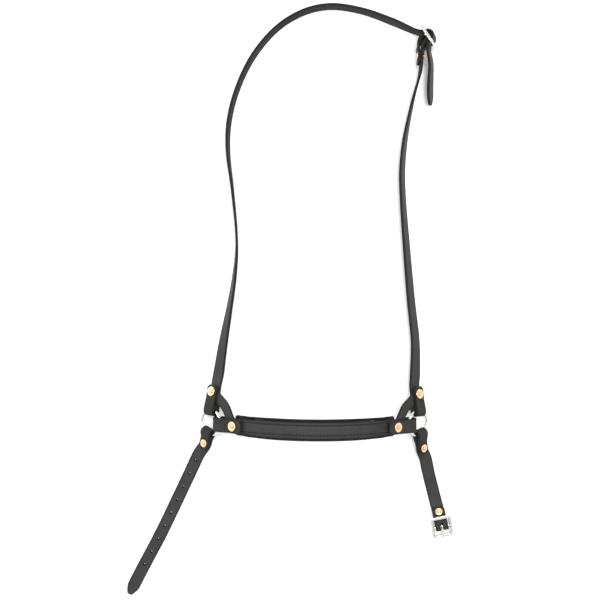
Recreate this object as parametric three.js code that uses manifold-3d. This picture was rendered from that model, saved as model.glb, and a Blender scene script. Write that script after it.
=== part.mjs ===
// Drop noseband for a horse, laid out on a flat surface: a head strap over the poll, a padded
// noseband arched between two rings, a punched chin strap and a chin strap with its buckle.
// Millimetres, +Z up. X runs across the noseband, Y from the chin straps towards the poll.
import * as THREE from 'three';
import { mergeVertices } from 'three/addons/utils/BufferGeometryUtils.js';
import Module from 'manifold-3d';

const wasm = await Module();
wasm.setup();

// ---- Driving dimensions ----
const CLEARANCE = 0.3; // running gap between pieces that touch
const STRAP_WIDTH = 17;
const STRAP_THICKNESS = 3.5;
const BRACE_WIDTH = 14;
const BRACE_THICKNESS = 2.6;
const BRACE_OVERRUN = 6.5; // past the rivets
const BRACE_BULGE = 3; // away from the ring

const RING_RADIUS = 17; // centre line
const RING_WIRE = 2; // wire radius
const RING_TILT = 38; // the noseband side stands higher
const RING_HEIGHT = 14.8; // ring centre above the table
const RING_LEFT = [-120.7, -165.8];
const RING_RIGHT = [161.3, -167.1];
const ringBow = (width) => RING_RADIUS - Math.sqrt(RING_RADIUS ** 2 - (width / 2) ** 2); // across a strap
const LOOP_INSET = ringBow(STRAP_WIDTH) / 2; // a loop's fold axis lies inside the ring's centre line
const LOOP_RADIUS = RING_WIRE + LOOP_INSET + 0.4; // inner radius of a fold round the ring

const NOSE_RIVET = 27.5; // from the fold axis
const NOSE_TAB = 42;
const NOSE_STRAIGHT = 34; // the arch starts here
const NOSE_WIDTH = 22;
const NOSE_TAB_WIDTH = 19;
const NOSE_DROP = 1.1; // the noseband sits this far from the ring's middle, towards the chin
const NOSE_LOOP_RADIUS = RING_WIRE + ringBow(NOSE_TAB_WIDTH + 2 * NOSE_DROP) - LOOP_INSET + 0.7;
const LINING_WIDTH = 28.5;
const LINING_END_WIDTH = 27;
const LINING_THICKNESS = 1.6;
const LINING_START = 22.5; // from the fold axis, behind the rivet head
const PADDING_WIDTH = 22;
const PADDING_THICKNESS = 4;

const LEFT_CHEEK_RIVET = 26;
const LEFT_CHEEK_TAB = 35;
const RIGHT_CHEEK_RIVET = 23.5;
const RIGHT_CHEEK_TAB = 33.8;
const CHEEK_DIP = 8; // slope from the ring plane down to the table
const LEFT_CHIN_RIVET = 15.5;
const LEFT_CHIN_TAB = 24.5;
const RIGHT_CHIN_RIVET = 20;
const RIGHT_CHIN_TAB = 29.5;

const LARGE_RIVET = { burr: 6.4, head: 6, shank: 1.9, dome: 3 };
const SMALL_RIVET = { burr: 5.4, head: 5, shank: 1.6, dome: 2.4 };
const BUCKLE_RIVET = { burr: 4.8, head: 4.8, shank: 1.6, dome: 2.4 };
const BURR_THICKNESS = 1.1;
const HEAD_THICKNESS = 1.1;

const BUCKLE_LENGTH = 33.5;
const BUCKLE_SIDE = 4.4; // width of the sides and end bars
const BUCKLE_PLAY = 1.8; // between the strap's edges and the frame's sides
const BUCKLE_WIDTH = STRAP_WIDTH + 2 * (BUCKLE_PLAY + BUCKLE_SIDE);
const BUCKLE_THICKNESS = 3.6;
const BUCKLE_BEVEL = 1;
const BUCKLE_CORNER = 4.5;
const BUCKLE_BAR = 1.9; // centre bar radius
const BUCKLE_DROP = 1; // centre bar below the frame's middle plane
const TONGUE_WIDTH = 2.8;
const TONGUE_THICKNESS = 2.2;
const TONGUE_SLOT = 4.2;

const CHIN_BUCKLE_AT = [194.6, -309.7, 7.4];
const CHIN_BUCKLE_TILT = 20; // the far end lies lower
const CHIN_BUCKLE_HEADING = -78.3; // degrees from +X, along the strap
const CHIN_BUCKLE_RIVET = 20.8;
const CHIN_BUCKLE_TAB = 27.5;
const CHIN_BUCKLE_SLOPE = 4.5;
const HEAD_BUCKLE_AT = [174.9, 356.8, 18.6];
const HEAD_BUCKLE_HEADING = -58;
const HEAD_BUCKLE_LEAN = 75; // degrees between the table and the frame's plane
const HEAD_BUCKLE_ROLL = 18; // degrees in its own plane, the hanging end's side up
const HEAD_RIVET_AT = [164.6, 332.9];
const HEAD_RIVET_LIFT = 4.5; // the two layers are held up by the buckle
const TONGUE_RISE = 15; // from the frame's plane, where it goes through the head strap
const TONGUE_PLAY = 6; // degrees that it can lift there

const PUNCHED_HOLE = 1.9; // hole radius
const CHIN_HOLES = 10;
const CHIN_HOLE_PITCH = 20;
const CHIN_FIRST_HOLE = 34; // from the fold axis
const HEAD_HOLES = 7;
const HEAD_HOLE_PITCH = 30;

// ---- Small helpers ----
const UP = new THREE.Vector3(0, 0, 1);
const vec = (x, y, z) => new THREE.Vector3(x, y, z);
const rad = THREE.MathUtils.degToRad;

// A right-handed working frame: `along` a strap or frame, `face` out of its visible side.
class Seat {
  constructor(origin, along, face) {
    this.origin = origin.clone();
    this.along = along.clone().normalize();
    this.across = face.clone().cross(this.along).normalize();
    this.face = this.along.clone().cross(this.across).normalize();
  }

  at(along, face = 0, across = 0) {
    return this.origin.clone()
      .addScaledVector(this.along, along)
      .addScaledVector(this.face, face)
      .addScaledVector(this.across, across);
  }

  moved(along, face = 0) {
    return new Seat(this.at(along, face), this.along, this.face);
  }
}

function solid(geometry) {
  const plain = geometry.clone();
  plain.deleteAttribute('normal');
  plain.deleteAttribute('uv');
  const merged = mergeVertices(plain, 1e-4);
  return new wasm.Manifold(new wasm.Mesh({
    numProp: 3,
    vertProperties: Float32Array.from(merged.attributes.position.array),
    triVerts: Uint32Array.from(merged.index.array),
  }));
}

function geometryOf(manifold) {
  const made = manifold.getMesh();
  const geometry = new THREE.BufferGeometry();
  geometry.setAttribute('position', new THREE.BufferAttribute(made.vertProperties, 3));
  geometry.setIndex(new THREE.BufferAttribute(made.triVerts, 1));
  return geometry;
}

// A round bar from `from` to `to`.
function rod(from, to, radius, sides = 12) {
  const geometry = new THREE.CylinderGeometry(radius, radius, from.distanceTo(to), sides);
  const direction = to.clone().sub(from).normalize();
  geometry.applyQuaternion(new THREE.Quaternion().setFromUnitVectors(vec(0, 1, 0), direction));
  geometry.translate(...from.clone().lerp(to, 0.5).toArray());
  return solid(geometry);
}

// ---- Straps ----
// A ribbon's stations as an extrusion path: the section's x runs across, its y out of the face.
class Ribbon extends THREE.Curve {
  constructor(stations) {
    super();
    this.stations = stations;
  }

  getPoint(t) {
    return this.stations[Math.round(t * (this.stations.length - 1))].at.clone();
  }

  getSpacedPoints() {
    return this.stations.map((station) => station.at.clone());
  }

  computeFrenetFrames() {
    return {
      tangents: this.stations.map((station) => station.tangent),
      normals: this.stations.map((station) => station.across.clone().multiplyScalar(station.width)),
      binormals: this.stations.map((station) => station.face),
    };
  }
}

// Control points hold a place and either an `across` direction or a lean from flat, in degrees.
const held = (at, across, width = STRAP_WIDTH) => ({ at, across, width });

function resting(x, y, lean, lift = 0, width = STRAP_WIDTH) {
  const tilt = rad(Math.abs(lean));
  const height = STRAP_WIDTH / 2 * Math.sin(tilt) + STRAP_THICKNESS / 2 * Math.abs(Math.cos(tilt));
  return { at: vec(x, y, height + lift), lean, width };
}

// Stations along a smooth curve through the control points, closer together where it bends.
function stationsThrough(controls, bend) {
  const curve = new THREE.CatmullRomCurve3(controls.map((control) => control.at), false, 'centripetal');
  const last = controls.length - 1;
  const acrossAt = controls.map((control, i) => {
    if (control.across) return control.across.clone().normalize();
    const tangent = curve.getTangent(i / last);
    const side = UP.clone().cross(tangent).normalize();
    const face = side.multiplyScalar(Math.sin(rad(control.lean)))
      .addScaledVector(UP, Math.cos(rad(control.lean)));
    return face.cross(tangent).normalize();
  });
  const stations = [];
  for (let i = 0; i < last; i += 1) {
    const start = curve.getTangent(i / last);
    const turn = THREE.MathUtils.radToDeg(start.angleTo(curve.getTangent((i + 1) / last)));
    const twist = THREE.MathUtils.radToDeg(acrossAt[i].angleTo(acrossAt[i + 1]));
    const pieces = Math.max(1, Math.ceil(turn / bend), Math.ceil(twist / bend));
    for (let j = 0; j < pieces + (i === last - 1 ? 1 : 0); j += 1) {
      const share = j / pieces;
      stations.push({
        at: curve.getPoint((i + share) / last),
        across: acrossAt[i].clone().lerp(acrossAt[i + 1], share),
        width: THREE.MathUtils.lerp(controls[i].width, controls[i + 1].width, share),
      });
    }
  }
  return squared(stations);
}

// Gives every station its tangent and squares its across and face directions to it.
function squared(stations) {
  stations.forEach((station, i) => {
    const before = stations[Math.max(0, i - 1)].at;
    const after = stations[Math.min(stations.length - 1, i + 1)].at;
    station.tangent = after.clone().sub(before).normalize();
    station.across.addScaledVector(station.tangent, -station.across.dot(station.tangent)).normalize();
    station.face = station.tangent.clone().cross(station.across).normalize();
  });
  return stations;
}

// The station a distance along the ribbon, between its neighbours.
function stationAt(stations, distance) {
  let left = distance;
  for (let i = 0; i < stations.length - 1; i += 1) {
    const length = stations[i].at.distanceTo(stations[i + 1].at);
    if (left <= length || i === stations.length - 2) {
      const share = Math.min(1, left / length);
      return {
        at: stations[i].at.clone().lerp(stations[i + 1].at, share),
        across: stations[i].across.clone().lerp(stations[i + 1].across, share),
        width: THREE.MathUtils.lerp(stations[i].width, stations[i + 1].width, share),
      };
    }
    left -= length;
  }
  return stations[0];
}

// The length of a ribbon up to the station nearest a point.
function lengthTo(stations, point) {
  let travelled = 0;
  let best = { gap: Infinity, travelled: 0 };
  stations.forEach((station, i) => {
    if (i > 0) travelled += station.at.distanceTo(stations[i - 1].at);
    const gap = station.at.distanceTo(point);
    if (gap < best.gap) best = { gap, travelled };
  });
  return best.travelled;
}

// Shapes the start of a ribbon: `outline` lists [distance from the end, share of the width].
function shapedStart(stations, outline) {
  const reach = outline[outline.length - 1][0];
  let travelled = 0;
  const rest = stations.filter((station, i) => {
    if (i > 0) travelled += station.at.distanceTo(stations[i - 1].at);
    return travelled > reach + 0.5;
  });
  const shaped = outline.map(([distance, share]) => {
    const station = stationAt(stations, distance);
    station.width *= share;
    return station;
  });
  return squared([...shaped, ...rest]);
}

const shapedEnd = (stations, outline) => {
  const turned = shapedStart([...stations].reverse(), outline).reverse();
  return squared(turned);
};

const ROUND_END = [[0, 0.5], [1.2, 0.74], [3, 0.92], [5.5, 1]];
const POINTED_END = [[0, 0.34], [3, 0.55], [14, 1]];

function ribbonSolid(stations, thickness) {
  const half = thickness / 2;
  const section = new THREE.Shape([
    new THREE.Vector2(-0.5, -half),
    new THREE.Vector2(0.5, -half),
    new THREE.Vector2(0.5, half),
    new THREE.Vector2(-0.5, half),
  ]);
  const options = { steps: stations.length - 1, extrudePath: new Ribbon(stations), bevelEnabled: false };
  return solid(new THREE.ExtrudeGeometry(section, options));
}

// ---- Folds and riveted stacks ----
// Half the distance between the middles of the two strap layers of a stack.
const stackOffset = (filling) => (filling + STRAP_THICKNESS) / 2 + (filling > 0 ? CLEARANCE : CLEARANCE / 2);
const BRACED = stackOffset(BRACE_THICKNESS); // with a brace strap between the layers
const PLAIN = stackOffset(0);

// Control points of a fold round a wire or bar at the seat's origin, from the free tab's end,
// over the face side, round the bar and out past the rivet on the far side.
function foldControls(seat, { radius, rivet, tab, offset, leave, width = STRAP_WIDTH }) {
  const middle = radius + STRAP_THICKNESS / 2;
  const layer = (along, face) => held(seat.at(along, face), seat.across, width);
  const straight = Math.min(7, tab - rivet);
  const controls = [
    layer(tab, offset),
    layer(rivet, offset),
    layer(rivet - straight, offset),
  ];
  for (let turn = 0; turn <= 180; turn += 30) {
    const angle = rad(turn);
    controls.push(layer(-middle * Math.sin(angle), middle * Math.cos(angle)));
  }
  controls.push(layer(rivet - straight, -offset));
  controls.push(layer(rivet, -offset));
  if (leave) controls.push(layer(leave, -offset));
  return controls;
}

// Cuts the rivet's hole through a strap, and the flats that its head and burr bear on.
function riveted(strap, place) {
  const { seat, offset, rivet } = place;
  const reach = offset + STRAP_THICKNESS;
  const bearing = offset + STRAP_THICKNESS / 2;
  return strap
    .subtract(rod(seat.at(0, -reach), seat.at(0, reach), rivet.shank + CLEARANCE))
    .subtract(rod(seat.at(0, bearing), seat.at(0, reach), rivet.burr + CLEARANCE, 16))
    .subtract(rod(seat.at(0, -reach), seat.at(0, -bearing), rivet.head + CLEARANCE, 16));
}

// Punches a round hole through a strap, a distance along its ribbon.
function punched(strap, stations, distance) {
  const station = stationAt(stations, distance);
  const before = stationAt(stations, distance - 1).at;
  const after = stationAt(stations, distance + 1).at;
  const face = after.sub(before).cross(station.across).normalize();
  const from = station.at.clone().addScaledVector(face, -STRAP_THICKNESS);
  const to = station.at.clone().addScaledVector(face, STRAP_THICKNESS);
  return strap.subtract(rod(from, to, PUNCHED_HOLE, 10));
}

// ---- Materials ----
const leather = new THREE.MeshStandardMaterial({ color: 0x3a3938, roughness: 0.55, metalness: 0 });
const lining = new THREE.MeshStandardMaterial({ color: 0x252525, roughness: 0.7, metalness: 0 });
const padding = new THREE.MeshStandardMaterial({ color: 0x8a8378, roughness: 0.95, metalness: 0 });
const nickel = new THREE.MeshStandardMaterial({ color: 0xd9d7d2, roughness: 0.2, metalness: 1 });
const copper = new THREE.MeshStandardMaterial({ color: 0xd98a55, roughness: 0.3, metalness: 1 });

const assembly = new THREE.Group();

function addPiece(name, geometry, material) {
  const mesh = new THREE.Mesh(geometry, material);
  mesh.name = name;
  assembly.add(mesh);
  return mesh;
}

// ---- Rings ----
function ringFrame([x, y], toNose) {
  const tilt = rad(RING_TILT);
  return {
    centre: vec(x, y, RING_HEIGHT),
    nose: vec(toNose * Math.cos(tilt), 0, Math.sin(tilt)),
    poll: vec(0, 1, 0),
    face: vec(-toNose * Math.sin(tilt), 0, Math.cos(tilt)),
  };
}

// The fold axis of a loop at an angle round the ring, 0 towards the noseband and 90 towards the
// poll, with the strap dipping below the ring's plane.
function ringSeat(ring, angle, dip = 0) {
  const out = ring.nose.clone().multiplyScalar(Math.cos(rad(angle)))
    .addScaledVector(ring.poll, Math.sin(rad(angle)));
  const origin = ring.centre.clone().addScaledVector(out, RING_RADIUS - LOOP_INSET);
  const along = out.clone().multiplyScalar(Math.cos(rad(dip)))
    .addScaledVector(ring.face, -Math.sin(rad(dip)));
  const face = ring.face.clone().multiplyScalar(Math.cos(rad(dip)))
    .addScaledVector(out, Math.sin(rad(dip)));
  return new Seat(origin, along, face);
}

const leftRing = ringFrame(RING_LEFT, 1);
const rightRing = ringFrame(RING_RIGHT, -1);
for (const [name, ring] of [['left_ring', leftRing], ['right_ring', rightRing]]) {
  const mesh = addPiece(name, new THREE.TorusGeometry(RING_RADIUS, RING_WIRE, 8, 28), nickel);
  mesh.position.copy(ring.centre);
  mesh.quaternion.setFromUnitVectors(UP, ring.face);
}

// ---- Where everything is riveted ----
const leftCheek = ringSeat(leftRing, 87.5, CHEEK_DIP);
const rightCheek = ringSeat(rightRing, 91, CHEEK_DIP);
const dropped = (seat) => new Seat(seat.origin.clone().add(vec(0, -NOSE_DROP, 0)), seat.along, seat.face);
const leftNose = dropped(ringSeat(leftRing, 0));
const rightNose = dropped(ringSeat(rightRing, 0));
const leftChin = ringSeat(leftRing, -110, 2);
const rightChin = ringSeat(rightRing, -104, 4);

const heading = (degrees) => vec(Math.cos(rad(degrees)), Math.sin(rad(degrees)), 0);

// The chin buckle's strap comes up to the centre bar from the ring side.
const chinStrapHeading = heading(CHIN_BUCKLE_HEADING);
const chinBarAt = vec(...CHIN_BUCKLE_AT);
const chinBuckleFold = new Seat(
  chinBarAt,
  chinStrapHeading.clone().negate().multiplyScalar(Math.cos(rad(CHIN_BUCKLE_SLOPE)))
    .addScaledVector(UP, -Math.sin(rad(CHIN_BUCKLE_SLOPE))),
  UP,
);

// The head buckle stands on its edge and leans in at the top.
const headBuckleHeading = heading(HEAD_BUCKLE_HEADING);
const headBuckleFace = UP.clone().multiplyScalar(Math.cos(rad(HEAD_BUCKLE_LEAN)))
  .addScaledVector(heading(HEAD_BUCKLE_HEADING + 90), Math.sin(rad(HEAD_BUCKLE_LEAN)));
const headBuckleUp = headBuckleHeading.clone().cross(headBuckleFace);
const headBuckleAlong = headBuckleHeading.clone().multiplyScalar(Math.cos(rad(HEAD_BUCKLE_ROLL)))
  .addScaledVector(headBuckleUp, Math.sin(rad(HEAD_BUCKLE_ROLL)));
const headBuckle = new Seat(vec(...HEAD_BUCKLE_AT), headBuckleAlong, headBuckleFace);
const headBar = headBuckle.moved(0, -BUCKLE_DROP);

// Two layers lie side by side below the head buckle, the folded end on the inner side.
const headRivetSeat = new Seat(
  vec(...HEAD_RIVET_AT, STRAP_WIDTH / 2 + HEAD_RIVET_LIFT),
  vec(0.1, 0.995, 0),
  vec(-0.995, 0.1, 0),
);

const rivets = {
  left_cheek: { seat: leftCheek.moved(LEFT_CHEEK_RIVET), offset: BRACED, rivet: LARGE_RIVET },
  right_cheek: { seat: rightCheek.moved(RIGHT_CHEEK_RIVET), offset: BRACED, rivet: LARGE_RIVET },
  left_nose: { seat: leftNose.moved(NOSE_RIVET), offset: BRACED, rivet: LARGE_RIVET },
  right_nose: { seat: rightNose.moved(NOSE_RIVET), offset: BRACED, rivet: LARGE_RIVET },
  left_chin: { seat: leftChin.moved(LEFT_CHIN_RIVET), offset: PLAIN, rivet: SMALL_RIVET },
  right_chin: { seat: rightChin.moved(RIGHT_CHIN_RIVET), offset: PLAIN, rivet: SMALL_RIVET },
  chin_buckle: { seat: chinBuckleFold.moved(CHIN_BUCKLE_RIVET), offset: PLAIN, rivet: BUCKLE_RIVET },
  head_buckle: { seat: headRivetSeat, offset: PLAIN, rivet: BUCKLE_RIVET },
};

// A rivet: flat head behind the leather, shank, and a peened dome over its burr.
function addRivet(name, { seat, offset, rivet }) {
  const bearing = offset + STRAP_THICKNESS / 2 + CLEARANCE;
  const tail = bearing + BURR_THICKNESS + CLEARANCE;
  const profile = [
    [0, -bearing - HEAD_THICKNESS],
    [rivet.head, -bearing - HEAD_THICKNESS],
    [rivet.head, -bearing],
    [rivet.shank, -bearing],
    [rivet.shank, tail],
    [rivet.dome, tail],
    [0, tail + 1.2],
  ];
  const burrProfile = [
    [rivet.shank + CLEARANCE, bearing],
    [rivet.burr, bearing],
    [rivet.burr, bearing + BURR_THICKNESS * 0.5],
    [rivet.burr - 0.7, bearing + BURR_THICKNESS],
    [rivet.shank + CLEARANCE, bearing + BURR_THICKNESS],
    [rivet.shank + CLEARANCE, bearing],
  ];
  const turned = (points) => {
    const geometry = new THREE.LatheGeometry(points.map(([r, h]) => new THREE.Vector2(r, h)), 12);
    geometry.applyQuaternion(new THREE.Quaternion().setFromUnitVectors(vec(0, 1, 0), seat.face));
    geometry.translate(...seat.origin.toArray());
    return geometry;
  };
  addPiece(`${name}_rivet`, turned(profile), copper);
  addPiece(`${name}_burr`, turned(burrProfile), copper);
}

for (const [name, place] of Object.entries(rivets)) addRivet(name, place);

const cheekFold = (rivet, tab) => ({ radius: LOOP_RADIUS, rivet, tab, offset: BRACED, leave: tab });

// ---- Head strap: left ring, over the poll, through the head buckle, to the hanging end ----
const HEAD_LIFT = HEAD_BUCKLE_AT[2] - STRAP_WIDTH / 2 - 1;
const buckled = (along, face, width) => held(headBuckle.at(along, face), headBuckle.across.clone(), width);
const headControls = [
  ...foldControls(leftCheek, cheekFold(LEFT_CHEEK_RIVET, LEFT_CHEEK_TAB)),
  resting(-111.3, -101, 32, 1),
  resting(-104.5, -57, 48),
  resting(-96.6, -13, 64),
  resting(-89.6, 31, 74),
  resting(-86.1, 78, 85),
  resting(-91.9, 150, 90),
  resting(-98.2, 205, 97),
  resting(-96.6, 245, 99),
  resting(-85.1, 289.7, 98),
  resting(-62.2, 336.2, 98),
  resting(-28.3, 374.6, 95),
  resting(8.2, 395.6, 94),
  resting(43, 402.3, 92),
  resting(84.9, 396.3, 92),
  resting(128.6, 380.6, 96, 0.4),
  buckled(-20.5, -11.6),
  buckled(-12, -5.6),
  buckled(-8.3, -1.4),
  buckled(-5.9, 4.5),
  buckled(0, 7.2),
  buckled(5.8, 4.7),
  buckled(8.1, 0.2),
  buckled(8.6, -3.4),
  buckled(12, -6.4),
  buckled(18, -9.8),
  resting(178.8, 322, 62, HEAD_LIFT * 0.6),
  resting(178.9, 295, 60),
  resting(178.7, 267, 60),
];
let headStations = stationsThrough(headControls, 16);
headStations = shapedStart(headStations, ROUND_END);
headStations = shapedEnd(headStations, POINTED_END);
let headStrap = riveted(ribbonSolid(headStations, STRAP_THICKNESS), rivets.left_cheek);

// The head buckle's tongue crosses the strap here, through an oblong hole.
for (const rise of [TONGUE_RISE, TONGUE_RISE + TONGUE_PLAY]) {
  const direction = headBuckle.along.clone().multiplyScalar(-Math.cos(rad(rise)))
    .addScaledVector(headBuckle.face, Math.sin(rad(rise)));
  const from = headBar.origin.clone().addScaledVector(direction, 3.9);
  const to = headBar.origin.clone().addScaledVector(direction, 11.5);
  headStrap = headStrap.subtract(rod(from, to, TONGUE_SLOT / 2 + 0.2));
}

const buckledLength = lengthTo(headStations, headBuckle.at(-8.3, -1.4));
for (let i = 1; i <= HEAD_HOLES; i += 1) {
  headStrap = punched(headStrap, headStations, buckledLength - i * HEAD_HOLE_PITCH);
}
addPiece('head_strap', geometryOf(headStrap), leather);

// ---- Right cheek strap: right ring up to the head buckle's centre bar ----
const barFold = BUCKLE_BAR + CLEARANCE + STRAP_THICKNESS / 2;
const onHeadBar = (degrees) => held(
  headBar.at(barFold * Math.cos(rad(degrees)), barFold * Math.sin(rad(degrees))),
  headBar.across.clone().negate(),
);
const besideRivet = (along, face) => held(
  headRivetSeat.at(along, face),
  headRivetSeat.across.clone().negate(),
);
const cheekControls = [
  ...foldControls(rightCheek, cheekFold(RIGHT_CHEEK_RIVET, RIGHT_CHEEK_TAB)),
  resting(158.1, -100.8, -34, 1),
  resting(158.4, -57, -46),
  resting(152.5, 0, -50),
  resting(146.1, 75, -56),
  resting(141.3, 140, -62),
  resting(140.3, 175, -63),
  resting(143.4, 213, -67),
  resting(149.9, 250, -76),
  resting(156.4, 280, -82, HEAD_LIFT * 0.3),
  besideRivet(-22, -PLAIN),
  besideRivet(-7, -PLAIN),
  besideRivet(0, -PLAIN),
  held(headBuckle.at(8.9, -12.4), headBuckle.across.clone().negate()),
  ...[-25, 0, 30, 60, 90, 120, 150].map(onHeadBar),
  held(headBuckle.at(-4.4, -5.6), headBuckle.across.clone().negate()),
  held(headBuckle.at(-2.4, -11.5), headBuckle.across.clone().negate()),
  besideRivet(10, PLAIN + 2.6),
  besideRivet(0, PLAIN),
  besideRivet(-6, PLAIN),
  besideRivet(-12, PLAIN),
];
let cheekStations = stationsThrough(cheekControls, 16);
cheekStations = shapedStart(cheekStations, ROUND_END);
cheekStations = shapedEnd(cheekStations, ROUND_END);

// A slot through the fold on a centre bar, for the tongue's eye.
const tongueSlot = (bar) => rod(
  bar.at(0, 0, -TONGUE_SLOT / 2),
  bar.at(0, 0, TONGUE_SLOT / 2),
  barFold + STRAP_THICKNESS,
  20,
);
let rightCheekStrap = ribbonSolid(cheekStations, STRAP_THICKNESS);
rightCheekStrap = riveted(rightCheekStrap, rivets.right_cheek);
rightCheekStrap = riveted(rightCheekStrap, rivets.head_buckle).subtract(tongueSlot(headBar));
addPiece('right_cheek_strap', geometryOf(rightCheekStrap), leather);

// ---- Noseband: face strap, padding and lining on one arch between the rings ----
const archStart = leftNose.at(NOSE_STRAIGHT);
const archEnd = rightNose.at(NOSE_STRAIGHT);
const archHalf = (archEnd.x - archStart.x) / 2;
const archRadius = archHalf / Math.sin(rad(RING_TILT));
const archCentre = archStart.clone().lerp(archEnd, 0.5);
archCentre.z -= archRadius * Math.cos(rad(RING_TILT));
const widening = (share, end, full) => end + (full - end) * Math.min(1, share);

// Control points along the arch, `offset` below its riveted middle plane.
function archControls(offset, widthAt, count = 12) {
  const controls = [];
  for (let i = 0; i <= count; i += 1) {
    const angle = rad(RING_TILT) * (2 * i / count - 1);
    const radius = archRadius - offset;
    const at = vec(
      archCentre.x + radius * Math.sin(angle),
      THREE.MathUtils.lerp(archStart.y, archEnd.y, i / count),
      archCentre.z + radius * Math.cos(angle),
    );
    controls.push(held(at, leftNose.across, widthAt(Math.min(i, count - i))));
  }
  return controls;
}

const noseFold = {
  radius: NOSE_LOOP_RADIUS,
  rivet: NOSE_RIVET,
  tab: NOSE_TAB,
  offset: BRACED,
  width: NOSE_TAB_WIDTH,
};
const widened = (index) => widening(index / 2, NOSE_TAB_WIDTH, NOSE_WIDTH);
const noseControls = [
  ...foldControls(leftNose, noseFold),
  ...archControls(BRACED, widened),
  ...foldControls(rightNose, noseFold).reverse()
    .map((control) => held(control.at, leftNose.across, NOSE_TAB_WIDTH)),
];
let noseStations = stationsThrough(noseControls, 16);
noseStations = shapedStart(noseStations, ROUND_END);
noseStations = shapedEnd(noseStations, ROUND_END);
let nosebandStrap = ribbonSolid(noseStations, STRAP_THICKNESS);
nosebandStrap = riveted(nosebandStrap, rivets.left_nose);
nosebandStrap = riveted(nosebandStrap, rivets.right_nose);
addPiece('noseband_strap', geometryOf(nosebandStrap), leather);

const strapBack = BRACED + STRAP_THICKNESS / 2 + CLEARANCE;
const liningEnd = strapBack + HEAD_THICKNESS + CLEARANCE + LINING_THICKNESS / 2;
const liningMiddle = strapBack + PADDING_THICKNESS + CLEARANCE + LINING_THICKNESS / 2;
const liningAt = (seat, along) => held(seat.at(along, -liningEnd), leftNose.across, LINING_END_WIDTH);
const pastHead = NOSE_RIVET + LARGE_RIVET.head;
const liningWidth = (index) => widening(index / 3, LINING_END_WIDTH, LINING_WIDTH);
const liningStations = stationsThrough([
  liningAt(leftNose, LINING_START),
  liningAt(leftNose, pastHead),
  ...archControls(liningMiddle, liningWidth).slice(1, -1),
  liningAt(rightNose, pastHead),
  liningAt(rightNose, LINING_START),
], 8);
addPiece('noseband_lining', geometryOf(ribbonSolid(liningStations, LINING_THICKNESS)), lining);

const paddingStations = stationsThrough(
  archControls(strapBack + CLEARANCE / 2 + PADDING_THICKNESS / 2, () => PADDING_WIDTH).slice(1, -1),
  8,
);
addPiece('noseband_padding', geometryOf(ribbonSolid(paddingStations, PADDING_THICKNESS)), padding);

// ---- Brace straps: from each cheek rivet to the nose rivet, between the folded layers ----
for (const [name, cheek, nose] of [
  ['left_brace_strap', rivets.left_cheek, rivets.left_nose],
  ['right_brace_strap', rivets.right_cheek, rivets.right_nose],
]) {
  const run = nose.seat.origin.clone().sub(cheek.seat.origin).normalize();
  const inPlane = (seat) => run.clone().addScaledVector(seat.face, -run.dot(seat.face)).normalize();
  const from = inPlane(cheek.seat);
  const to = inPlane(nose.seat);
  const outward = cheek.seat.along.clone().add(nose.seat.along).normalize();
  const near = (place, direction, distance) => held(
    place.seat.origin.clone().addScaledVector(direction, distance),
    place.seat.face.clone().cross(direction),
    BRACE_WIDTH,
  );
  const halfway = near(cheek, from, 0);
  halfway.at.lerp(nose.seat.origin, 0.5).addScaledVector(outward, BRACE_BULGE);
  halfway.across = cheek.seat.face.clone().add(nose.seat.face).cross(run).normalize();
  let stations = stationsThrough([
    near(cheek, from, -BRACE_OVERRUN),
    near(cheek, from, 0),
    near(cheek, from, 9),
    halfway,
    near(nose, to, -9),
    near(nose, to, 0),
    near(nose, to, BRACE_OVERRUN),
  ], 8);
  stations = shapedEnd(shapedStart(stations, ROUND_END), ROUND_END);
  const strap = riveted(riveted(ribbonSolid(stations, BRACE_THICKNESS), cheek), nose);
  addPiece(name, geometryOf(strap), leather);
}

// ---- Left chin strap: ring to pointed end, with its row of holes ----
const leftChinFold = {
  radius: LOOP_RADIUS,
  rivet: LEFT_CHIN_RIVET,
  tab: LEFT_CHIN_TAB,
  offset: PLAIN,
};
let leftChinStations = stationsThrough([
  ...foldControls(leftChin, leftChinFold),
  resting(-138.5, -211, 8, 0.4),
  resting(-148, -231, 2, 0.1),
  resting(-165, -267, 0),
  resting(-191.5, -322, 0),
  resting(-219, -374, 0),
  resting(-234.5, -404.5, 0),
], 16);
leftChinStations = shapedEnd(shapedStart(leftChinStations, ROUND_END), POINTED_END);
let leftChinStrap = ribbonSolid(leftChinStations, STRAP_THICKNESS);
leftChinStrap = riveted(leftChinStrap, rivets.left_chin);
const leftFoldLength = lengthTo(leftChinStations, leftChin.at(-LOOP_RADIUS - STRAP_THICKNESS / 2));
for (let i = 0; i < CHIN_HOLES; i += 1) {
  const distance = leftFoldLength + CHIN_FIRST_HOLE + i * CHIN_HOLE_PITCH;
  leftChinStrap = punched(leftChinStrap, leftChinStations, distance);
}
addPiece('left_chin_strap', geometryOf(leftChinStrap), leather);

// ---- Right chin strap: ring to the chin buckle's centre bar ----
const rightChinFold = {
  radius: LOOP_RADIUS,
  rivet: RIGHT_CHIN_RIVET,
  tab: RIGHT_CHIN_TAB,
  offset: PLAIN,
};
const chinBarFold = {
  radius: BUCKLE_BAR + CLEARANCE,
  rivet: CHIN_BUCKLE_RIVET,
  tab: CHIN_BUCKLE_TAB,
  offset: PLAIN,
};
const flipped = (control) => held(control.at, control.across.clone().negate());
let rightChinStations = stationsThrough([
  ...foldControls(rightChin, rightChinFold),
  resting(172.5, -216, -9, 0.6),
  resting(177, -236, -3, 0.2),
  resting(181.8, -255.4, 0),
  resting(186.5, -274, 0),
  ...foldControls(chinBuckleFold, chinBarFold).reverse().map(flipped),
], 16);
rightChinStations = shapedEnd(shapedStart(rightChinStations, ROUND_END), ROUND_END);
const chinBar = new Seat(chinBarAt, chinStrapHeading, UP);
let rightChinStrap = ribbonSolid(rightChinStations, STRAP_THICKNESS);
rightChinStrap = riveted(rightChinStrap, rivets.right_chin);
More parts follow.
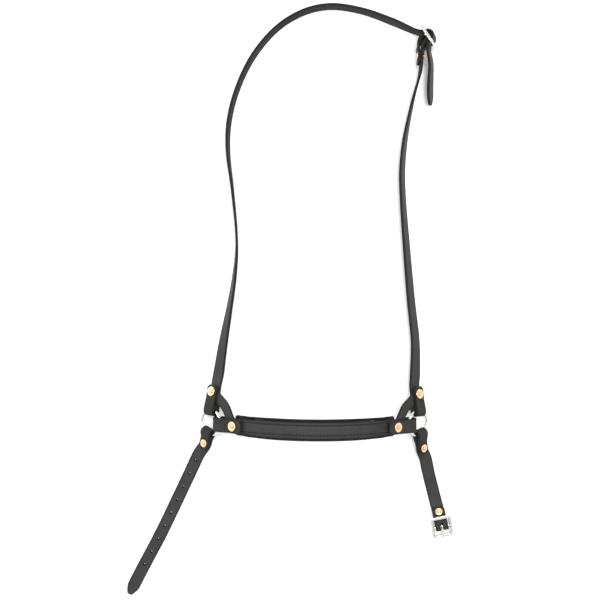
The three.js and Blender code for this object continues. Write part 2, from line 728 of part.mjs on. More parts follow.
rightChinStrap = riveted(rightChinStrap, rivets.chin_buckle).subtract(tongueSlot(chinBar));
addPiece('right_chin_strap', geometryOf(rightChinStrap), leather);

// ---- Buckles: a frame with a dropped centre bar, and a tongue that turns on the bar ----
function roundedRectangle(Kind, width, length, radius) {
  const outline = new Kind();
  const x = width / 2;
  const y = length / 2;
  outline.moveTo(-x + radius, -y);
  outline.lineTo(x - radius, -y);
  outline.absarc(x - radius, -y + radius, radius, -Math.PI / 2, 0);
  outline.lineTo(x, y - radius);
  outline.absarc(x - radius, y - radius, radius, 0, Math.PI / 2);
  outline.lineTo(-x + radius, y);
  outline.absarc(-x + radius, y - radius, radius, Math.PI / 2, Math.PI);
  outline.lineTo(-x, -y + radius);
  outline.absarc(-x + radius, -y + radius, radius, Math.PI, Math.PI * 1.5);
  return outline;
}

// In the frame's own axes: x across, y along from near bar to far bar, z out of its face.
function buckleFrame() {
  const outline = roundedRectangle(
    THREE.Shape,
    BUCKLE_WIDTH - 2 * BUCKLE_BEVEL,
    BUCKLE_LENGTH - 2 * BUCKLE_BEVEL,
    BUCKLE_CORNER - BUCKLE_BEVEL,
  );
  outline.holes.push(roundedRectangle(
    THREE.Path,
    BUCKLE_WIDTH - 2 * BUCKLE_SIDE + 2 * BUCKLE_BEVEL,
    BUCKLE_LENGTH - 2 * BUCKLE_SIDE + 2 * BUCKLE_BEVEL,
    BUCKLE_BEVEL + 1.2,
  ));
  const rim = new THREE.ExtrudeGeometry(outline, {
    depth: BUCKLE_THICKNESS - 2 * BUCKLE_BEVEL,
    bevelThickness: BUCKLE_BEVEL,
    bevelSize: BUCKLE_BEVEL,
    bevelSegments: 1,
    curveSegments: 3,
  });
  rim.translate(0, 0, -BUCKLE_THICKNESS / 2 + BUCKLE_BEVEL);
  const reach = BUCKLE_WIDTH / 2 - BUCKLE_SIDE / 2;
  const bar = rod(vec(-reach, 0, -BUCKLE_DROP), vec(reach, 0, -BUCKLE_DROP), BUCKLE_BAR, 12);
  return geometryOf(solid(rim).add(bar));
}

// In the bar's own axes: y towards the tip, z out of the buckle's face.
function buckleTongue() {
  const bore = BUCKLE_BAR + CLEARANCE;
  const eye = bore + 1.3;
  const half = TONGUE_WIDTH / 2;
  const tip = BUCKLE_LENGTH / 2 + 0.2;
  const tipHeight = BUCKLE_DROP + BUCKLE_THICKNESS / 2 + 2 * CLEARANCE + TONGUE_THICKNESS / 2;
  const eyeSolid = rod(vec(-half, 0, 0), vec(half, 0, 0), eye, 14);
  const boreSolid = rod(vec(-eye, 0, 0), vec(eye, 0, 0), bore, 14);
  const slope = Math.atan2(tipHeight, tip - BUCKLE_SIDE / 2);
  const pin = new THREE.BoxGeometry(TONGUE_WIDTH, tip, TONGUE_THICKNESS);
  pin.translate(0, tip / 2, 0);
  pin.rotateX(slope);
  return geometryOf(solid(pin).add(eyeSolid).subtract(boreSolid));
}

const buckleAxes = (seat) => new THREE.Matrix4().makeBasis(
  seat.along.clone().cross(seat.face),
  seat.along,
  seat.face,
).setPosition(seat.origin);

const tiltedAlong = chinStrapHeading.clone().multiplyScalar(Math.cos(rad(CHIN_BUCKLE_TILT)))
  .addScaledVector(UP, -Math.sin(rad(CHIN_BUCKLE_TILT)));
const tiltedBar = new Seat(chinBarAt, tiltedAlong, UP);
for (const [name, frameSeat, barSeat] of [
  ['chin_buckle', tiltedBar.moved(0, BUCKLE_DROP), tiltedBar],
  ['head_buckle', headBuckle, headBar],
]) {
  const towardsTip = name === 'head_buckle' ? -1 : 1;
  const turned = (seat) => new Seat(seat.origin, seat.along.clone().multiplyScalar(towardsTip), seat.face);
  addPiece(`${name}_frame`, buckleFrame().applyMatrix4(buckleAxes(turned(frameSeat))), nickel);
  addPiece(`${name}_tongue`, buckleTongue().applyMatrix4(buckleAxes(turned(barSeat))), nickel);
}

// The origin is on the table, below the middle of the whole outline.
const bounds = new THREE.Box3().setFromObject(assembly);
const centre = bounds.getCenter(vec(0, 0, 0));
assembly.position.set(-centre.x, -centre.y, -bounds.min.z);

export default assembly;
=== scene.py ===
"""Looks of a drop noseband laid out on a white table: black bridle leather with copper rivets
and nickel rings and buckles. Lengths in the making are millimetres, as the CAD part's are."""

import math

import bmesh
import bpy
from mathutils import Matrix, Vector


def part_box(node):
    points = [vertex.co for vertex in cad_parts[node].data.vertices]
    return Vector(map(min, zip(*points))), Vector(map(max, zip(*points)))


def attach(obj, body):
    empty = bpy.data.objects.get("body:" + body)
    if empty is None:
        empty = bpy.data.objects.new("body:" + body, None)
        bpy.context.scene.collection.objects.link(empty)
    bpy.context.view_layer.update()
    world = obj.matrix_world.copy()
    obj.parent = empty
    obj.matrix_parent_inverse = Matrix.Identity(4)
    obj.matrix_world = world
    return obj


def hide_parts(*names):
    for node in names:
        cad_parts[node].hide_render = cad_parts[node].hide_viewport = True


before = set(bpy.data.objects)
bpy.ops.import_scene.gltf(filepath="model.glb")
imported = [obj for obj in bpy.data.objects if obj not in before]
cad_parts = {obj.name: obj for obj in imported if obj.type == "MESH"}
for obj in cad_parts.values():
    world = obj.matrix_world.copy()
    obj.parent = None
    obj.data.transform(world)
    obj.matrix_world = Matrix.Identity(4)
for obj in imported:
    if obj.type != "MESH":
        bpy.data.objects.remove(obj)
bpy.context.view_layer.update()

scene = bpy.context.scene


def linked(name, data):
    """A new object in the scene."""
    made = bpy.data.objects.new(name, data)
    scene.collection.objects.link(made)
    return made


# ---- Camera, straight above the table ----
CAMERA_AT = (0.0133, 0.0004, 1.1)
CAMERA_LENS = 47.83

camera = linked("camera", bpy.data.cameras.new("camera"))
camera.location = CAMERA_AT
camera.data.sensor_fit = "HORIZONTAL"
camera.data.sensor_width = 36
camera.data.lens = CAMERA_LENS
camera.data.clip_start = 0.01
camera.data.clip_end = 20
scene.camera = camera


def bow(radius, chord):
    """How far a circle bows out past a chord."""
    return radius - math.sqrt(radius ** 2 - (chord / 2) ** 2)


# ---- Driving dimensions, as in the CAD part ----
CLEARANCE = 0.3
STRAP_WIDTH = 17
STRAP_THICKNESS = 3.5
BRACE_WIDTH = 14
BRACE_THICKNESS = 2.6
BRACE_OVERRUN = 6.5
BRACE_FLAT = 9
BRACE_BULGE = 3

RING_RADIUS = 17
RING_WIRE = 2
RING_TILT = 38
RING_LEFT = Vector((-120.7, -165.8, 14.8))
RING_RIGHT = Vector((161.3, -167.1, 14.8))

# The leather loops round a ring: the ring bows across a strap, so each loop has room for it.
LOOP_PLAY = 0.4
LOOP_INSET = bow(RING_RADIUS, STRAP_WIDTH) / 2
LOOP_RADIUS = RING_WIRE + LOOP_INSET + LOOP_PLAY

NOSE_RIVET = 27.5
NOSE_TAB = 42
NOSE_STRAIGHT = 34
NOSE_WIDTH = 22
NOSE_TAB_WIDTH = 19
NOSE_DROP = 1.1
NOSE_LOOP_PLAY = 0.7
NOSE_LOOP_RADIUS = (
    RING_WIRE + bow(RING_RADIUS, NOSE_TAB_WIDTH + 2 * NOSE_DROP) - LOOP_INSET + NOSE_LOOP_PLAY
)
LINING_WIDTH = 28.5
LINING_END_WIDTH = 27
LINING_THICKNESS = 1.6
LINING_START = 22.5
PADDING_WIDTH = 22
PADDING_THICKNESS = 4

# Each strap at a ring: its angle round the ring, how far it dips, its rivet and its tab's end.
LEFT_CHEEK_ANGLE = 87.5
LEFT_CHEEK_RIVET = 26
LEFT_CHEEK_TAB = 35
RIGHT_CHEEK_ANGLE = 91
RIGHT_CHEEK_RIVET = 23.5
RIGHT_CHEEK_TAB = 33.8
CHEEK_DIP = 8
LEFT_CHIN_ANGLE = -110
LEFT_CHIN_DIP = 2
LEFT_CHIN_RIVET = 15.5
LEFT_CHIN_TAB = 24.5
RIGHT_CHIN_ANGLE = -104
RIGHT_CHIN_DIP = 4
RIGHT_CHIN_RIVET = 20
RIGHT_CHIN_TAB = 29.5

LARGE_RIVET = {"burr": 6.4, "head": 6, "shank": 1.9, "dome": 2.9}
SMALL_RIVET = {"burr": 5.4, "head": 5, "shank": 1.6, "dome": 2.4}
BUCKLE_RIVET = {"burr": 4.8, "head": 4.8, "shank": 1.6, "dome": 2.2}
BURR_THICKNESS = 1.1
HEAD_THICKNESS = 1.1

BUCKLE_LENGTH = 33.5
BUCKLE_SIDE = 4.4
BUCKLE_PLAY = 1.8
BUCKLE_WIDTH = STRAP_WIDTH + 2 * (BUCKLE_PLAY + BUCKLE_SIDE)
BUCKLE_THICKNESS = 3.6
BUCKLE_BAR = 1.9
BUCKLE_DROP = 1
TONGUE_SLOT = 4.2

CHIN_BUCKLE_AT = Vector((194.6, -309.7, 7.4))
CHIN_BUCKLE_TILT = 20
CHIN_BUCKLE_HEADING = -78.3
CHIN_BUCKLE_RIVET = 20.8
CHIN_BUCKLE_TAB = 27.5
CHIN_BUCKLE_SLOPE = 4.5
HEAD_BUCKLE_AT = Vector((174.9, 356.8, 18.6))
HEAD_BUCKLE_HEADING = -58
HEAD_BUCKLE_LEAN = 75
HEAD_BUCKLE_ROLL = 18
HEAD_RIVET_LIFT = 4.5
HEAD_RIVET_AT = Vector((164.6, 332.9, STRAP_WIDTH / 2 + HEAD_RIVET_LIFT))
HEAD_RIVET_ALONG = Vector((0.1, 0.995, 0))
HEAD_RIVET_FACE = Vector((-0.995, 0.1, 0))
TONGUE_RISE = 15
TONGUE_PLAY = 6

PUNCHED_HOLE = 1.9
PUNCHED_HOLE_TAPER = 0.34  # only here, not in the CAD part: narrower towards the back
CHIN_HOLES = 10
CHIN_HOLE_PITCH = 20
CHIN_FIRST_HOLE = 34
HEAD_HOLES = 7
HEAD_HOLE_PITCH = 30

STITCH_ROW = 6.5  # from the middle of the noseband
STITCH_PITCH = 4.4
STITCH_LENGTH = 3.3
STITCH_RADIUS = 0.6

# The CAD part is moved so that its box is centred on the origin; a ring shows by how much.
ring_low, ring_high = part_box("left_ring")
SHIFT = (ring_low + ring_high) * 500 - RING_LEFT

MM = 0.001
UP = Vector((0, 0, 1))
rad = math.radians


def metres(point):
    """A point of the CAD part, in the frame's metres."""
    return (point + SHIFT) * MM


def mix(a, b, share):
    return a + (b - a) * share


def clamped(value):
    return min(1.0, max(0.0, value))


def eased(share):
    return share * share * (3 - 2 * share)


def quarter_round(share):
    """Height of a quarter circle, 0 to 1, at a share of its radius from its low end."""
    return math.sqrt(max(0.0, 1 - (1 - share) ** 2))


def squarish(value, power):
    """A sine or cosine pushed outwards, which makes a circle a rounded square."""
    return math.copysign(abs(value) ** power, value)


def turned(start, towards, degrees):
    """A direction turned from one towards another, square to it, by an angle."""
    return start * math.cos(rad(degrees)) + towards * math.sin(rad(degrees))


def heading(degrees):
    return turned(Vector((1, 0, 0)), Vector((0, 1, 0)), degrees)


class Seat:
    """A right-handed working frame: along a strap or buckle, face out of its visible side."""

    def __init__(self, origin, along, face):
        self.origin = origin.copy()
        self.along = along.normalized()
        self.across = face.cross(self.along).normalized()
        self.face = self.along.cross(self.across).normalized()

    def at(self, along, face=0.0, across=0.0):
        return self.origin + self.along * along + self.face * face + self.across * across

    def moved(self, along, face=0.0):
        return Seat(self.at(along, face), self.along, self.face)


# ---- Materials ----
def new_material(name, **values):
    material = bpy.data.materials.new(name)
    material.use_nodes = True
    shader = material.node_tree.nodes["Principled BSDF"]
    for socket, value in values.items():
        shader.inputs[socket.replace("_", " ")].default_value = value
    tree = material.node_tree
    where = tree.nodes.new("ShaderNodeTexCoord").outputs["Object"]
    return material, tree, shader, where


def add(tree, kind, inputs=None, **settings):
    node = tree.nodes.new(kind)
    for key, value in settings.items():
        setattr(node, key, value)
    for key, value in (inputs or {}).items():
        if isinstance(value, bpy.types.NodeSocket):
            tree.links.new(value, node.inputs[key])
        else:
            node.inputs[key].default_value = value
    return node


def noise(tree, coordinates, scale, detail=3.0, roughness=0.55, stretch=None):
    source = coordinates
    if stretch:
        source = add(tree, "ShaderNodeMapping", {0: coordinates, "Scale": stretch}).outputs[0]
    return add(
        tree, "ShaderNodeTexNoise",
        {"Vector": source, "Scale": scale, "Detail": detail, "Roughness": roughness},
    ).outputs[0]


def ramp(tree, factor, stops):
    node = add(tree, "ShaderNodeValToRGB", {0: factor})
    elements = node.color_ramp.elements
    while len(elements) < len(stops):
        elements.new(0.5)
    for element, (position, colour) in zip(elements, stops):
        element.position = position
        element.color = (*colour, 1)
    return node.outputs[0]


def finish(tree, shader, colour, normal, roughness=None):
    tree.links.new(colour, shader.inputs["Base Color"])
    tree.links.new(normal, shader.inputs["Normal"])
    if roughness:
        tree.links.new(roughness, shader.inputs["Roughness"])


def bump(tree, height, strength, distance, normal=None):
    inputs = {"Height": height, "Strength": strength, "Distance": distance}
    if normal:
        inputs["Normal"] = normal
    return add(tree, "ShaderNodeBump", inputs).outputs[0]


def remap(tree, value, low, high):
    return add(tree, "ShaderNodeMapRange", {0: value, 3: low, 4: high}).outputs[0]


def leather(name, dark, light, rough, shine, grain_scale, grain_depth):
    """Dyed leather: broad cloudy colour, fine pebbled grain, pores and soft handling creases."""
    material, tree, shader, where = new_material(name)
    cloud = noise(tree, where, scale=38, detail=4)
    mottle = noise(tree, where, scale=420)
    blend = add(tree, "ShaderNodeMath", {0: mottle, 1: 0.45}, operation="MULTIPLY").outputs[0]
    tone = add(tree, "ShaderNodeMath", {0: cloud, 1: blend}, operation="ADD").outputs[0]
    colour = ramp(tree, tone, [(0.45, dark), (0.95, light)])
    cells = add(
        tree, "ShaderNodeTexVoronoi", {"Vector": where, "Scale": grain_scale, "Randomness": 1.0},
        feature="DISTANCE_TO_EDGE",
    ).outputs["Distance"]
    pebbles = add(tree, "ShaderNodeMapRange", {0: cells, 1: 0.0, 2: 0.22}).outputs[0]
    fine = noise(tree, where, grain_scale * 1.9, 4, 0.65)
    creases = noise(tree, where, scale=150, detail=5, roughness=0.6)
    normal = bump(tree, creases, strength=0.35, distance=0.0004)
    normal = bump(tree, pebbles, grain_depth, 0.00008, normal)
    normal = bump(tree, fine, grain_depth * 0.8, 0.00006, normal)
    finish(tree, shader, colour, normal, remap(tree, tone, rough - 0.09, rough + 0.12))
    shader.inputs["Specular IOR Level"].default_value = shine
    return material


def metal(name, colour_low, colour_high, rough, scratch, hammer):
    """Plated or polished metal with fine polishing scratches and faint unevenness."""
    material, tree, shader, where = new_material(name, Metallic=1.0)
    stain = noise(tree, where, scale=260, detail=4)
    colour = ramp(tree, stain, [(0.3, colour_low), (0.75, colour_high)])
    lines = noise(tree, where, scale=1500, roughness=0.7, stretch=(1.0, 0.16, 0.5))
    dents = noise(tree, where, scale=480, detail=2)
    normal = bump(tree, dents, hammer, 0.0002)
    normal = bump(tree, lines, scratch, 0.00003, normal)
    finish(tree, shader, colour, normal, remap(tree, lines, rough - 0.06, rough + 0.1))
    return material


GRAIN = leather(
    "leather_grain", (0.016, 0.0155, 0.015), (0.030, 0.029, 0.028),
    rough=0.56, shine=0.3, grain_scale=1150, grain_depth=0.32,
)
EDGE = leather(
    "leather_edge", (0.004, 0.004, 0.004), (0.010, 0.0095, 0.009),
    rough=0.6, shine=0.2, grain_scale=1500, grain_depth=0.2,
)
FLESH = leather(
    "leather_flesh", (0.020, 0.0183, 0.0168), (0.038, 0.0352, 0.033),
    rough=0.82, shine=0.15, grain_scale=1700, grain_depth=0.5,
)
SOFT = leather(
    "lining_leather", (0.007, 0.007, 0.007), (0.016, 0.0155, 0.015),
    rough=0.7, shine=0.25, grain_scale=900, grain_depth=0.3,
)
NICKEL = metal(
    "polished_nickel", (0.74, 0.70, 0.62), (0.90, 0.87, 0.80), rough=0.15, scratch=0.25, hammer=0.12,
)
COPPER = metal(
    "polished_copper", (0.92, 0.50, 0.27), (0.97, 0.60, 0.34), rough=0.2, scratch=0.25, hammer=0.1,
)
# Paler copper for the riveted burrs: a painted highlight, standing in for the overhead light
# reflected off their flat rims.
PAINTED_HIGHLIGHT_COPPER = metal(
    "copper_painted_highlight", (0.97, 0.68, 0.38), (1.0, 0.80, 0.52), rough=0.36, scratch=0.2, hammer=0.06,
)


def thread_material():
    """Waxed linen thread: two strands twisted together."""
    material, tree, shader, where = new_material("waxed_thread", Roughness=0.5)
    strands = noise(tree, where, scale=2600, detail=2, roughness=0.5, stretch=(1.0, 0.3, 1.0))
    colour = ramp(tree, strands, [(0.3, (0.004, 0.004, 0.004)), (0.8, (0.016, 0.0155, 0.015))])
    finish(tree, shader, colour, bump(tree, strands, strength=0.6, distance=0.0001))
    return material


def felt_material():
    """Grey-brown wool felt, fibrous and matt."""
    material, tree, shader, where = new_material("wool_felt", Roughness=0.95, Sheen_Weight=0.4)
    fibres = noise(tree, where, scale=1900, detail=6, roughness=0.7)
    clumps = noise(tree, where, scale=240, detail=4)
    colour = ramp(tree, clumps, [(0.3, (0.20, 0.185, 0.165)), (0.75, (0.34, 0.32, 0.29))])
    normal = bump(tree, clumps, strength=0.4, distance=0.0006)
    finish(tree, shader, colour, bump(tree, fibres, 0.7, 0.0004, normal))
    return material


THREAD = thread_material()
FELT = felt_material()


# ---- Meshes ----
GRAIN_SIDE, CUT_EDGE, FLESH_SIDE = 0, 1, 2  # the kinds of a strap's faces
SHARP = 38
SHARP_METAL = 50
SHARP_ROUND = 60


def new_piece(name, points, faces, kinds, materials, body, node, slot, sharp=SHARP):
    """A mesh piece that rides on a body and stands for a CAD node, if it has one."""
    mesh = bpy.data.meshes.new(name)
    mesh.from_pydata([metres(p) for p in points], [], faces)
    for material in materials:
        mesh.materials.append(material)
    mesh.polygons.foreach_set("material_index", kinds)
    mesh.polygons.foreach_set("use_smooth", [True] * len(faces))
    mesh.set_sharp_from_angle(angle=rad(sharp))
    made = linked(name, mesh)
    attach(made, body)
    if node:
        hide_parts(node)
    return made


def skin(rings, kinds_round=None, closed=False, cap_kind=0, flip=False):
    """Faces over a row of rings, each with the same number of points, and its end caps.
    Flipped, they face the other way."""
    count = len(rings[0])
    kinds_round = kinds_round or [0] * count
    points = [p for ring in rings for p in ring]
    faces = []
    kinds = []
    last = len(rings) if closed else len(rings) - 1
    for i in range(last):
        a = i * count
        b = (i + 1) % len(rings) * count
        for j in range(count):
            k = (j + 1) % count
            faces.append((a + j, a + k, b + k, b + j))
            kinds.append(kinds_round[j])
    if not closed:
        end = (len(rings) - 1) * count
        faces.append(tuple(range(count - 1, -1, -1)))
        faces.append(tuple(range(end, end + count)))
        kinds += [cap_kind, cap_kind]
    if flip:
        faces = [tuple(reversed(face)) for face in faces]
    return points, faces, kinds


def joined(*shells):
    """Several skins as one."""
    points, faces, kinds = [], [], []
    for shell_points, shell_faces, shell_kinds in shells:
        base = len(points)
        points += shell_points
        faces += [tuple(base + corner for corner in face) for face in shell_faces]
        kinds += shell_kinds
    return points, faces, kinds


def circle(centre, u, v, sides):
    """A ring of points: round where u and v, its half axes, are square and equally long."""
    turns = [math.tau * j / sides for j in range(sides)]
    return [centre + u * math.cos(turn) + v * math.sin(turn) for turn in turns]


def drilled(made, rods):
    """Cuts round holes, given as (start, end, radius, taper), through a piece. The taper is how
    much the radius grows per millimetre from the start to the end."""
    cutter_mesh = bpy.data.meshes.new("cutter")
    work = bmesh.new()
    for start, end, radius, taper in rods:
        direction = end - start
        growth = taper * direction.length / 2
        turn = direction.to_track_quat("Z", "Y").to_matrix().to_4x4()
        place = Matrix.Translation(metres((start + end) / 2)) @ turn
        bmesh.ops.create_cone(
            work, cap_ends=True, segments=28, radius1=(radius - growth) * MM,
            radius2=(radius + growth) * MM, depth=direction.length * MM, matrix=place,
        )
    for face in work.faces:
        face.material_index = CUT_EDGE
    work.to_mesh(cutter_mesh)
    work.free()
    for material in made.data.materials:
        cutter_mesh.materials.append(material)
    cutter = linked("cutter", cutter_mesh)
    modifier = made.modifiers.new("holes", "BOOLEAN")
    modifier.operation = "DIFFERENCE"
    modifier.solver = "MANIFOLD"
    modifier.object = cutter
    graph = bpy.context.evaluated_depsgraph_get()
    cut = bpy.data.meshes.new_from_object(made.evaluated_get(graph))
    made.modifiers.clear()
    made.data = cut
    bpy.data.objects.remove(cutter)
    cut.set_sharp_from_angle(angle=rad(SHARP))


# ---- Ribbons, the centre surfaces of the straps ----
class Spline:
    """A centripetal Catmull-Rom curve through points, for 0 to 1 along it."""

    def __init__(self, points):
        self.points = points
        self.last = len(points) - 1

    def point(self, t):
        place = clamped(t) * self.last
        i = min(int(place), self.last - 1)
        share = place - i
        b, c = self.points[i], self.points[i + 1]
        a = self.points[i - 1] if i > 0 else b * 2 - c
        d = self.points[i + 2] if i + 2 <= self.last else c * 2 - b
        gap = (c - b).length ** 0.5
        before = (b - a).length ** 0.5
        after = (d - c).length ** 0.5
        start = ((b - a) / before - (c - a) / (before + gap) + (c - b) / gap) * gap
        end = ((c - b) / gap - (d - b) / (gap + after) + (d - c) / after) * gap
        square = share * share
        cube = square * share
        return (
            b * (2 * cube - 3 * square + 1) + c * (3 * square - 2 * cube)
            + start * (cube - 2 * square + share) + end * (cube - square)
        )

    def tangent(self, t):
        low = max(t - 0.0001, 0)
        high = min(t + 0.0001, 1)
        return (self.point(high) - self.point(low)).normalized()


def held(at, across, width=STRAP_WIDTH, fold=0.0):
    """A control of a strap's path that is held in a given place; fold is how creased it is."""
    return {"at": at, "across": across, "width": width, "fold": fold}


def resting(x, y, lean, lift=0.0):
    """A control of a path that rests on the table: 0 degrees lies flat, 90 stands on edge."""
    tilt = rad(abs(lean))
    height = STRAP_WIDTH / 2 * math.sin(tilt) + STRAP_THICKNESS / 2 * abs(math.cos(tilt))
    return {"at": Vector((x, y, height + lift)), "lean": lean, "width": STRAP_WIDTH, "fold": 0.0}


def stations_through(controls, step=2.6, bend=5):
    """Stations along a curve through the controls, at most a step (mm) and a bend (degrees)
    apart."""
    curve = Spline([control["at"] for control in controls])
    last = len(controls) - 1
    across_at = []
    for i, control in enumerate(controls):
        if "across" in control:
            across_at.append(control["across"].normalized())
            continue
        tangent = curve.tangent(i / last)
        side = UP.cross(tangent).normalized()
        face = side * math.sin(rad(control["lean"])) + UP * math.cos(rad(control["lean"]))
        across_at.append(face.cross(tangent).normalized())
    stations = []
    for i in range(last):
        a, b = controls[i], controls[i + 1]
        turn = math.degrees(curve.tangent(i / last).angle(curve.tangent((i + 1) / last)))
        twist = math.degrees(across_at[i].angle(across_at[i + 1]))
        length = (b["at"] - a["at"]).length
        pieces = max(1, math.ceil(turn / bend), math.ceil(twist / bend), math.ceil(length / step))
        for j in range(pieces + (i == last - 1)):
            share = j / pieces
            stations.append({
                "at": curve.point((i + share) / last),
                "across": across_at[i].lerp(across_at[i + 1], share),
                "width": mix(a["width"], b["width"], share),
                "fold": mix(a["fold"], b["fold"], share),
                "thick": 1.0,
            })
    return squared(stations)


def squared(stations):
    """Gives each station its tangent, and squares its across and face directions to it."""
    travelled = 0.0
    for i, station in enumerate(stations):
        before = stations[max(0, i - 1)]["at"]
        after = stations[min(len(stations) - 1, i + 1)]["at"]
        tangent = (after - before).normalized()
        across = station["across"]
        station["tangent"] = tangent
        station["across"] = (across - tangent * across.dot(tangent)).normalized()
        station["face"] = tangent.cross(station["across"]).normalized()
        if i > 0:
            travelled += (station["at"] - stations[i - 1]["at"]).length
        station["travelled"] = travelled
    return stations


def placed_on(station, across, height):
    """A place beside a strap's centre line and above its middle surface."""
    return station["at"] + station["across"] * across + station["face"] * height


def station_at(stations, distance):
    """The station at a distance along the strap."""
    for a, b in zip(stations, stations[1:]):
        if distance <= b["travelled"] or b is stations[-1]:
            gap = b["travelled"] - a["travelled"]
            share = clamped((distance - a["travelled"]) / gap)
            return {key: mix(a[key], b[key], share) for key in a}


def length_to(stations, point):
    """The distance along the strap to the station nearest to a point."""
    return min(stations, key=lambda station: (station["at"] - point).length)["travelled"]


# Outlines of strap ends: (distance, share of the width, share of the thickness).
ROUND_END = [
    (0, 0.42, 0.5), (0.12, 0.5, 0.72), (0.35, 0.58, 0.9), (0.7, 0.66, 0.98), (1.2, 0.745, 1),
    (2, 0.845, 1), (3, 0.925, 1), (4.2, 0.98, 1), (5.5, 1, 1),
]
POINTED_END = [
    (0, 0.27, 0.5), (0.12, 0.31, 0.72), (0.35, 0.36, 0.9), (0.9, 0.42, 1), (1.8, 0.485, 1),
    (3, 0.56, 1), (5, 0.675, 1), (7.5, 0.8, 1), (10, 0.9, 1), (12, 0.965, 1), (14, 1, 1),
]


def shaped_start(stations, outline):
    """Gives a ribbon's start the outline of a strap end."""
    rest = [s for s in stations if s["travelled"] > outline[-1][0] + 0.5]
    shaped = []
    for distance, share, thick in outline:
        station = station_at(stations, distance)
        station["width"] *= share
        station["thick"] = thick
        shaped.append(station)
    return squared(shaped + rest)


def turned_round(stations):
    return squared([dict(station) for station in reversed(stations)])


def strap_path(controls, end=ROUND_END, step=2.6):
    """The stations of a strap with a rounded start and the given outline at its end."""
    stations = shaped_start(stations_through(controls, step), ROUND_END)
    return turned_round(shaped_start(turned_round(stations), end))


# ---- Straps ----

NARROW = 5.5  # a strap's edge shrinks with it where half its width is less than this
BACK_ROUNDING = 0.7
FACE_ROUNDING = 1.05
DYED_MARGIN = 1.5  # of the flesh side, along its edge
FLESH_STEPS = 7
CROWN = 0.05
EDGE_CREASE = ((1.55, 0.0), (1.85, 0.26), (2.15, 0.0), (2.9, -0.04))  # (inset, depth)
STITCH_GROOVE = (  # (offset from its middle, depth, kind of the stretch that follows)
    (1.15, 0.0, GRAIN_SIDE), (0.75, 0.2, CUT_EDGE), (0.4, 0.6, CUT_EDGE),
    (-0.4, 0.6, CUT_EDGE), (-0.75, 0.2, GRAIN_SIDE), (-1.15, 0.0, GRAIN_SIDE),
)


def half_section(half_width, half_thickness, grooves):
    """From the middle of the flesh side round one edge to the middle of the grain side, as
    (across, out of the face, kind of the stretch that follows)."""
    tight = min(1.0, half_width / NARROW)
    low = min(BACK_ROUNDING, half_thickness * 0.5)
    high = min(FACE_ROUNDING, half_thickness * 0.62)
    margin = DYED_MARGIN * tight
    flat = half_width - margin
    section = [
        (flat * i / FLESH_STEPS, -half_thickness, FLESH_SIDE if i < FLESH_STEPS else CUT_EDGE)
        for i in range(FLESH_STEPS + 1)
    ]
    section.append((flat + margin * 0.25, -half_thickness + 0.14, CUT_EDGE))
    for angle in (-90, -60, -30, 0):
        section.append((
            half_width - low * tight * (1 - math.cos(rad(angle))),
            -half_thickness + low * (1 + math.sin(rad(angle))),
            CUT_EDGE,
        ))
    for angle in (0, 30, 60, 90):
        section.append((
            half_width - high * tight * (1 - math.cos(rad(angle))),
            half_thickness - high * (1 - math.sin(rad(angle))),
            GRAIN_SIDE if angle == 90 else CUT_EDGE,
        ))
    for inset, depth in EDGE_CREASE:
        section.append((half_width - inset * tight, half_thickness - depth, GRAIN_SIDE))
    for groove in grooves:
        for offset, depth, kind in STITCH_GROOVE:
            section.append((groove + offset, half_thickness - depth, kind))
    section.append((half_width * 0.22, half_thickness + CROWN, GRAIN_SIDE))
    return section


def wrinkle(x, along):
    """Height of the small ridges that the inside of a fold is pressed into."""
    return 0.13 * math.sin(x * 2.6 + along * 0.22) + 0.1 * math.sin(x * 4.7 + 1.7)


def strap_rings(stations, thickness, grooves):
    """The section at each station, and the kinds of the faces between its points."""
    rings = []
    for station in stations:
        right = half_section(station["width"] / 2, thickness / 2, grooves)
        left = [(-x, y, kind) for x, y, kind in reversed(right) if x > 0]
        ring = []
        for x, y, _ in right + [(0.0, thickness / 2 + CROWN, GRAIN_SIDE)] + left:
            height = y * station["thick"]
            if y < 0 and station["fold"] > 0:
                height -= wrinkle(x, station["travelled"]) * station["fold"] * min(1.0, -y)
            ring.append(placed_on(station, x, height))
        rings.append(ring)
    kinds = [kind for _, _, kind in right]
    return rings, kinds + [GRAIN_SIDE] + kinds[-2::-1]


def new_strap(name, stations, body, holes, thickness=STRAP_THICKNESS, grooves=()):
    rings, kinds_round = strap_rings(stations, thickness, grooves)
    made = new_piece(
        f"{name}_look", *skin(rings, kinds_round, cap_kind=CUT_EDGE), [GRAIN, EDGE, FLESH], body,
        name, "strap_leather",
    )
    drilled(made, holes)


def stack_offset(filling):
    """From a rivet's middle to the middle of each outer layer, with a filling between them."""
    return (filling + STRAP_THICKNESS) / 2 + (CLEARANCE if filling > 0 else CLEARANCE / 2)


BRACED = stack_offset(BRACE_THICKNESS)
PLAIN = stack_offset(0)
FOLD_STRAIGHT = 7  # how far a fold's two layers run flat together before the rivet


def fold_controls(seat, radius, rivet, tab, offset, leave=None, width=STRAP_WIDTH):
    """From the free tab's end over the face side, round the bar and past the rivet again."""
    def layer(along, face, fold=0.0):
        return held(seat.at(along, face), seat.across, width, fold)

    middle = radius + STRAP_THICKNESS / 2
    straight = min(FOLD_STRAIGHT, tab - rivet)
    controls = [layer(tab, offset), layer(rivet, offset), layer(rivet - straight, offset, 0.15)]
    for turn in range(0, 181, 30):
        angle = rad(turn)
        creased = 0.6 + 0.4 * math.sin(angle)
        controls.append(layer(-middle * math.sin(angle), middle * math.cos(angle), creased))
    controls.append(layer(rivet - straight, -offset))
    controls.append(layer(rivet, -offset))
    if leave:
        controls.append(layer(leave, -offset))
    return controls


def rivet_hole(place):
    seat = place["seat"]
    reach = place["offset"] + STRAP_THICKNESS
    return (seat.at(0, -reach), seat.at(0, reach), place["rivet"]["shank"] + CLEARANCE, 0)


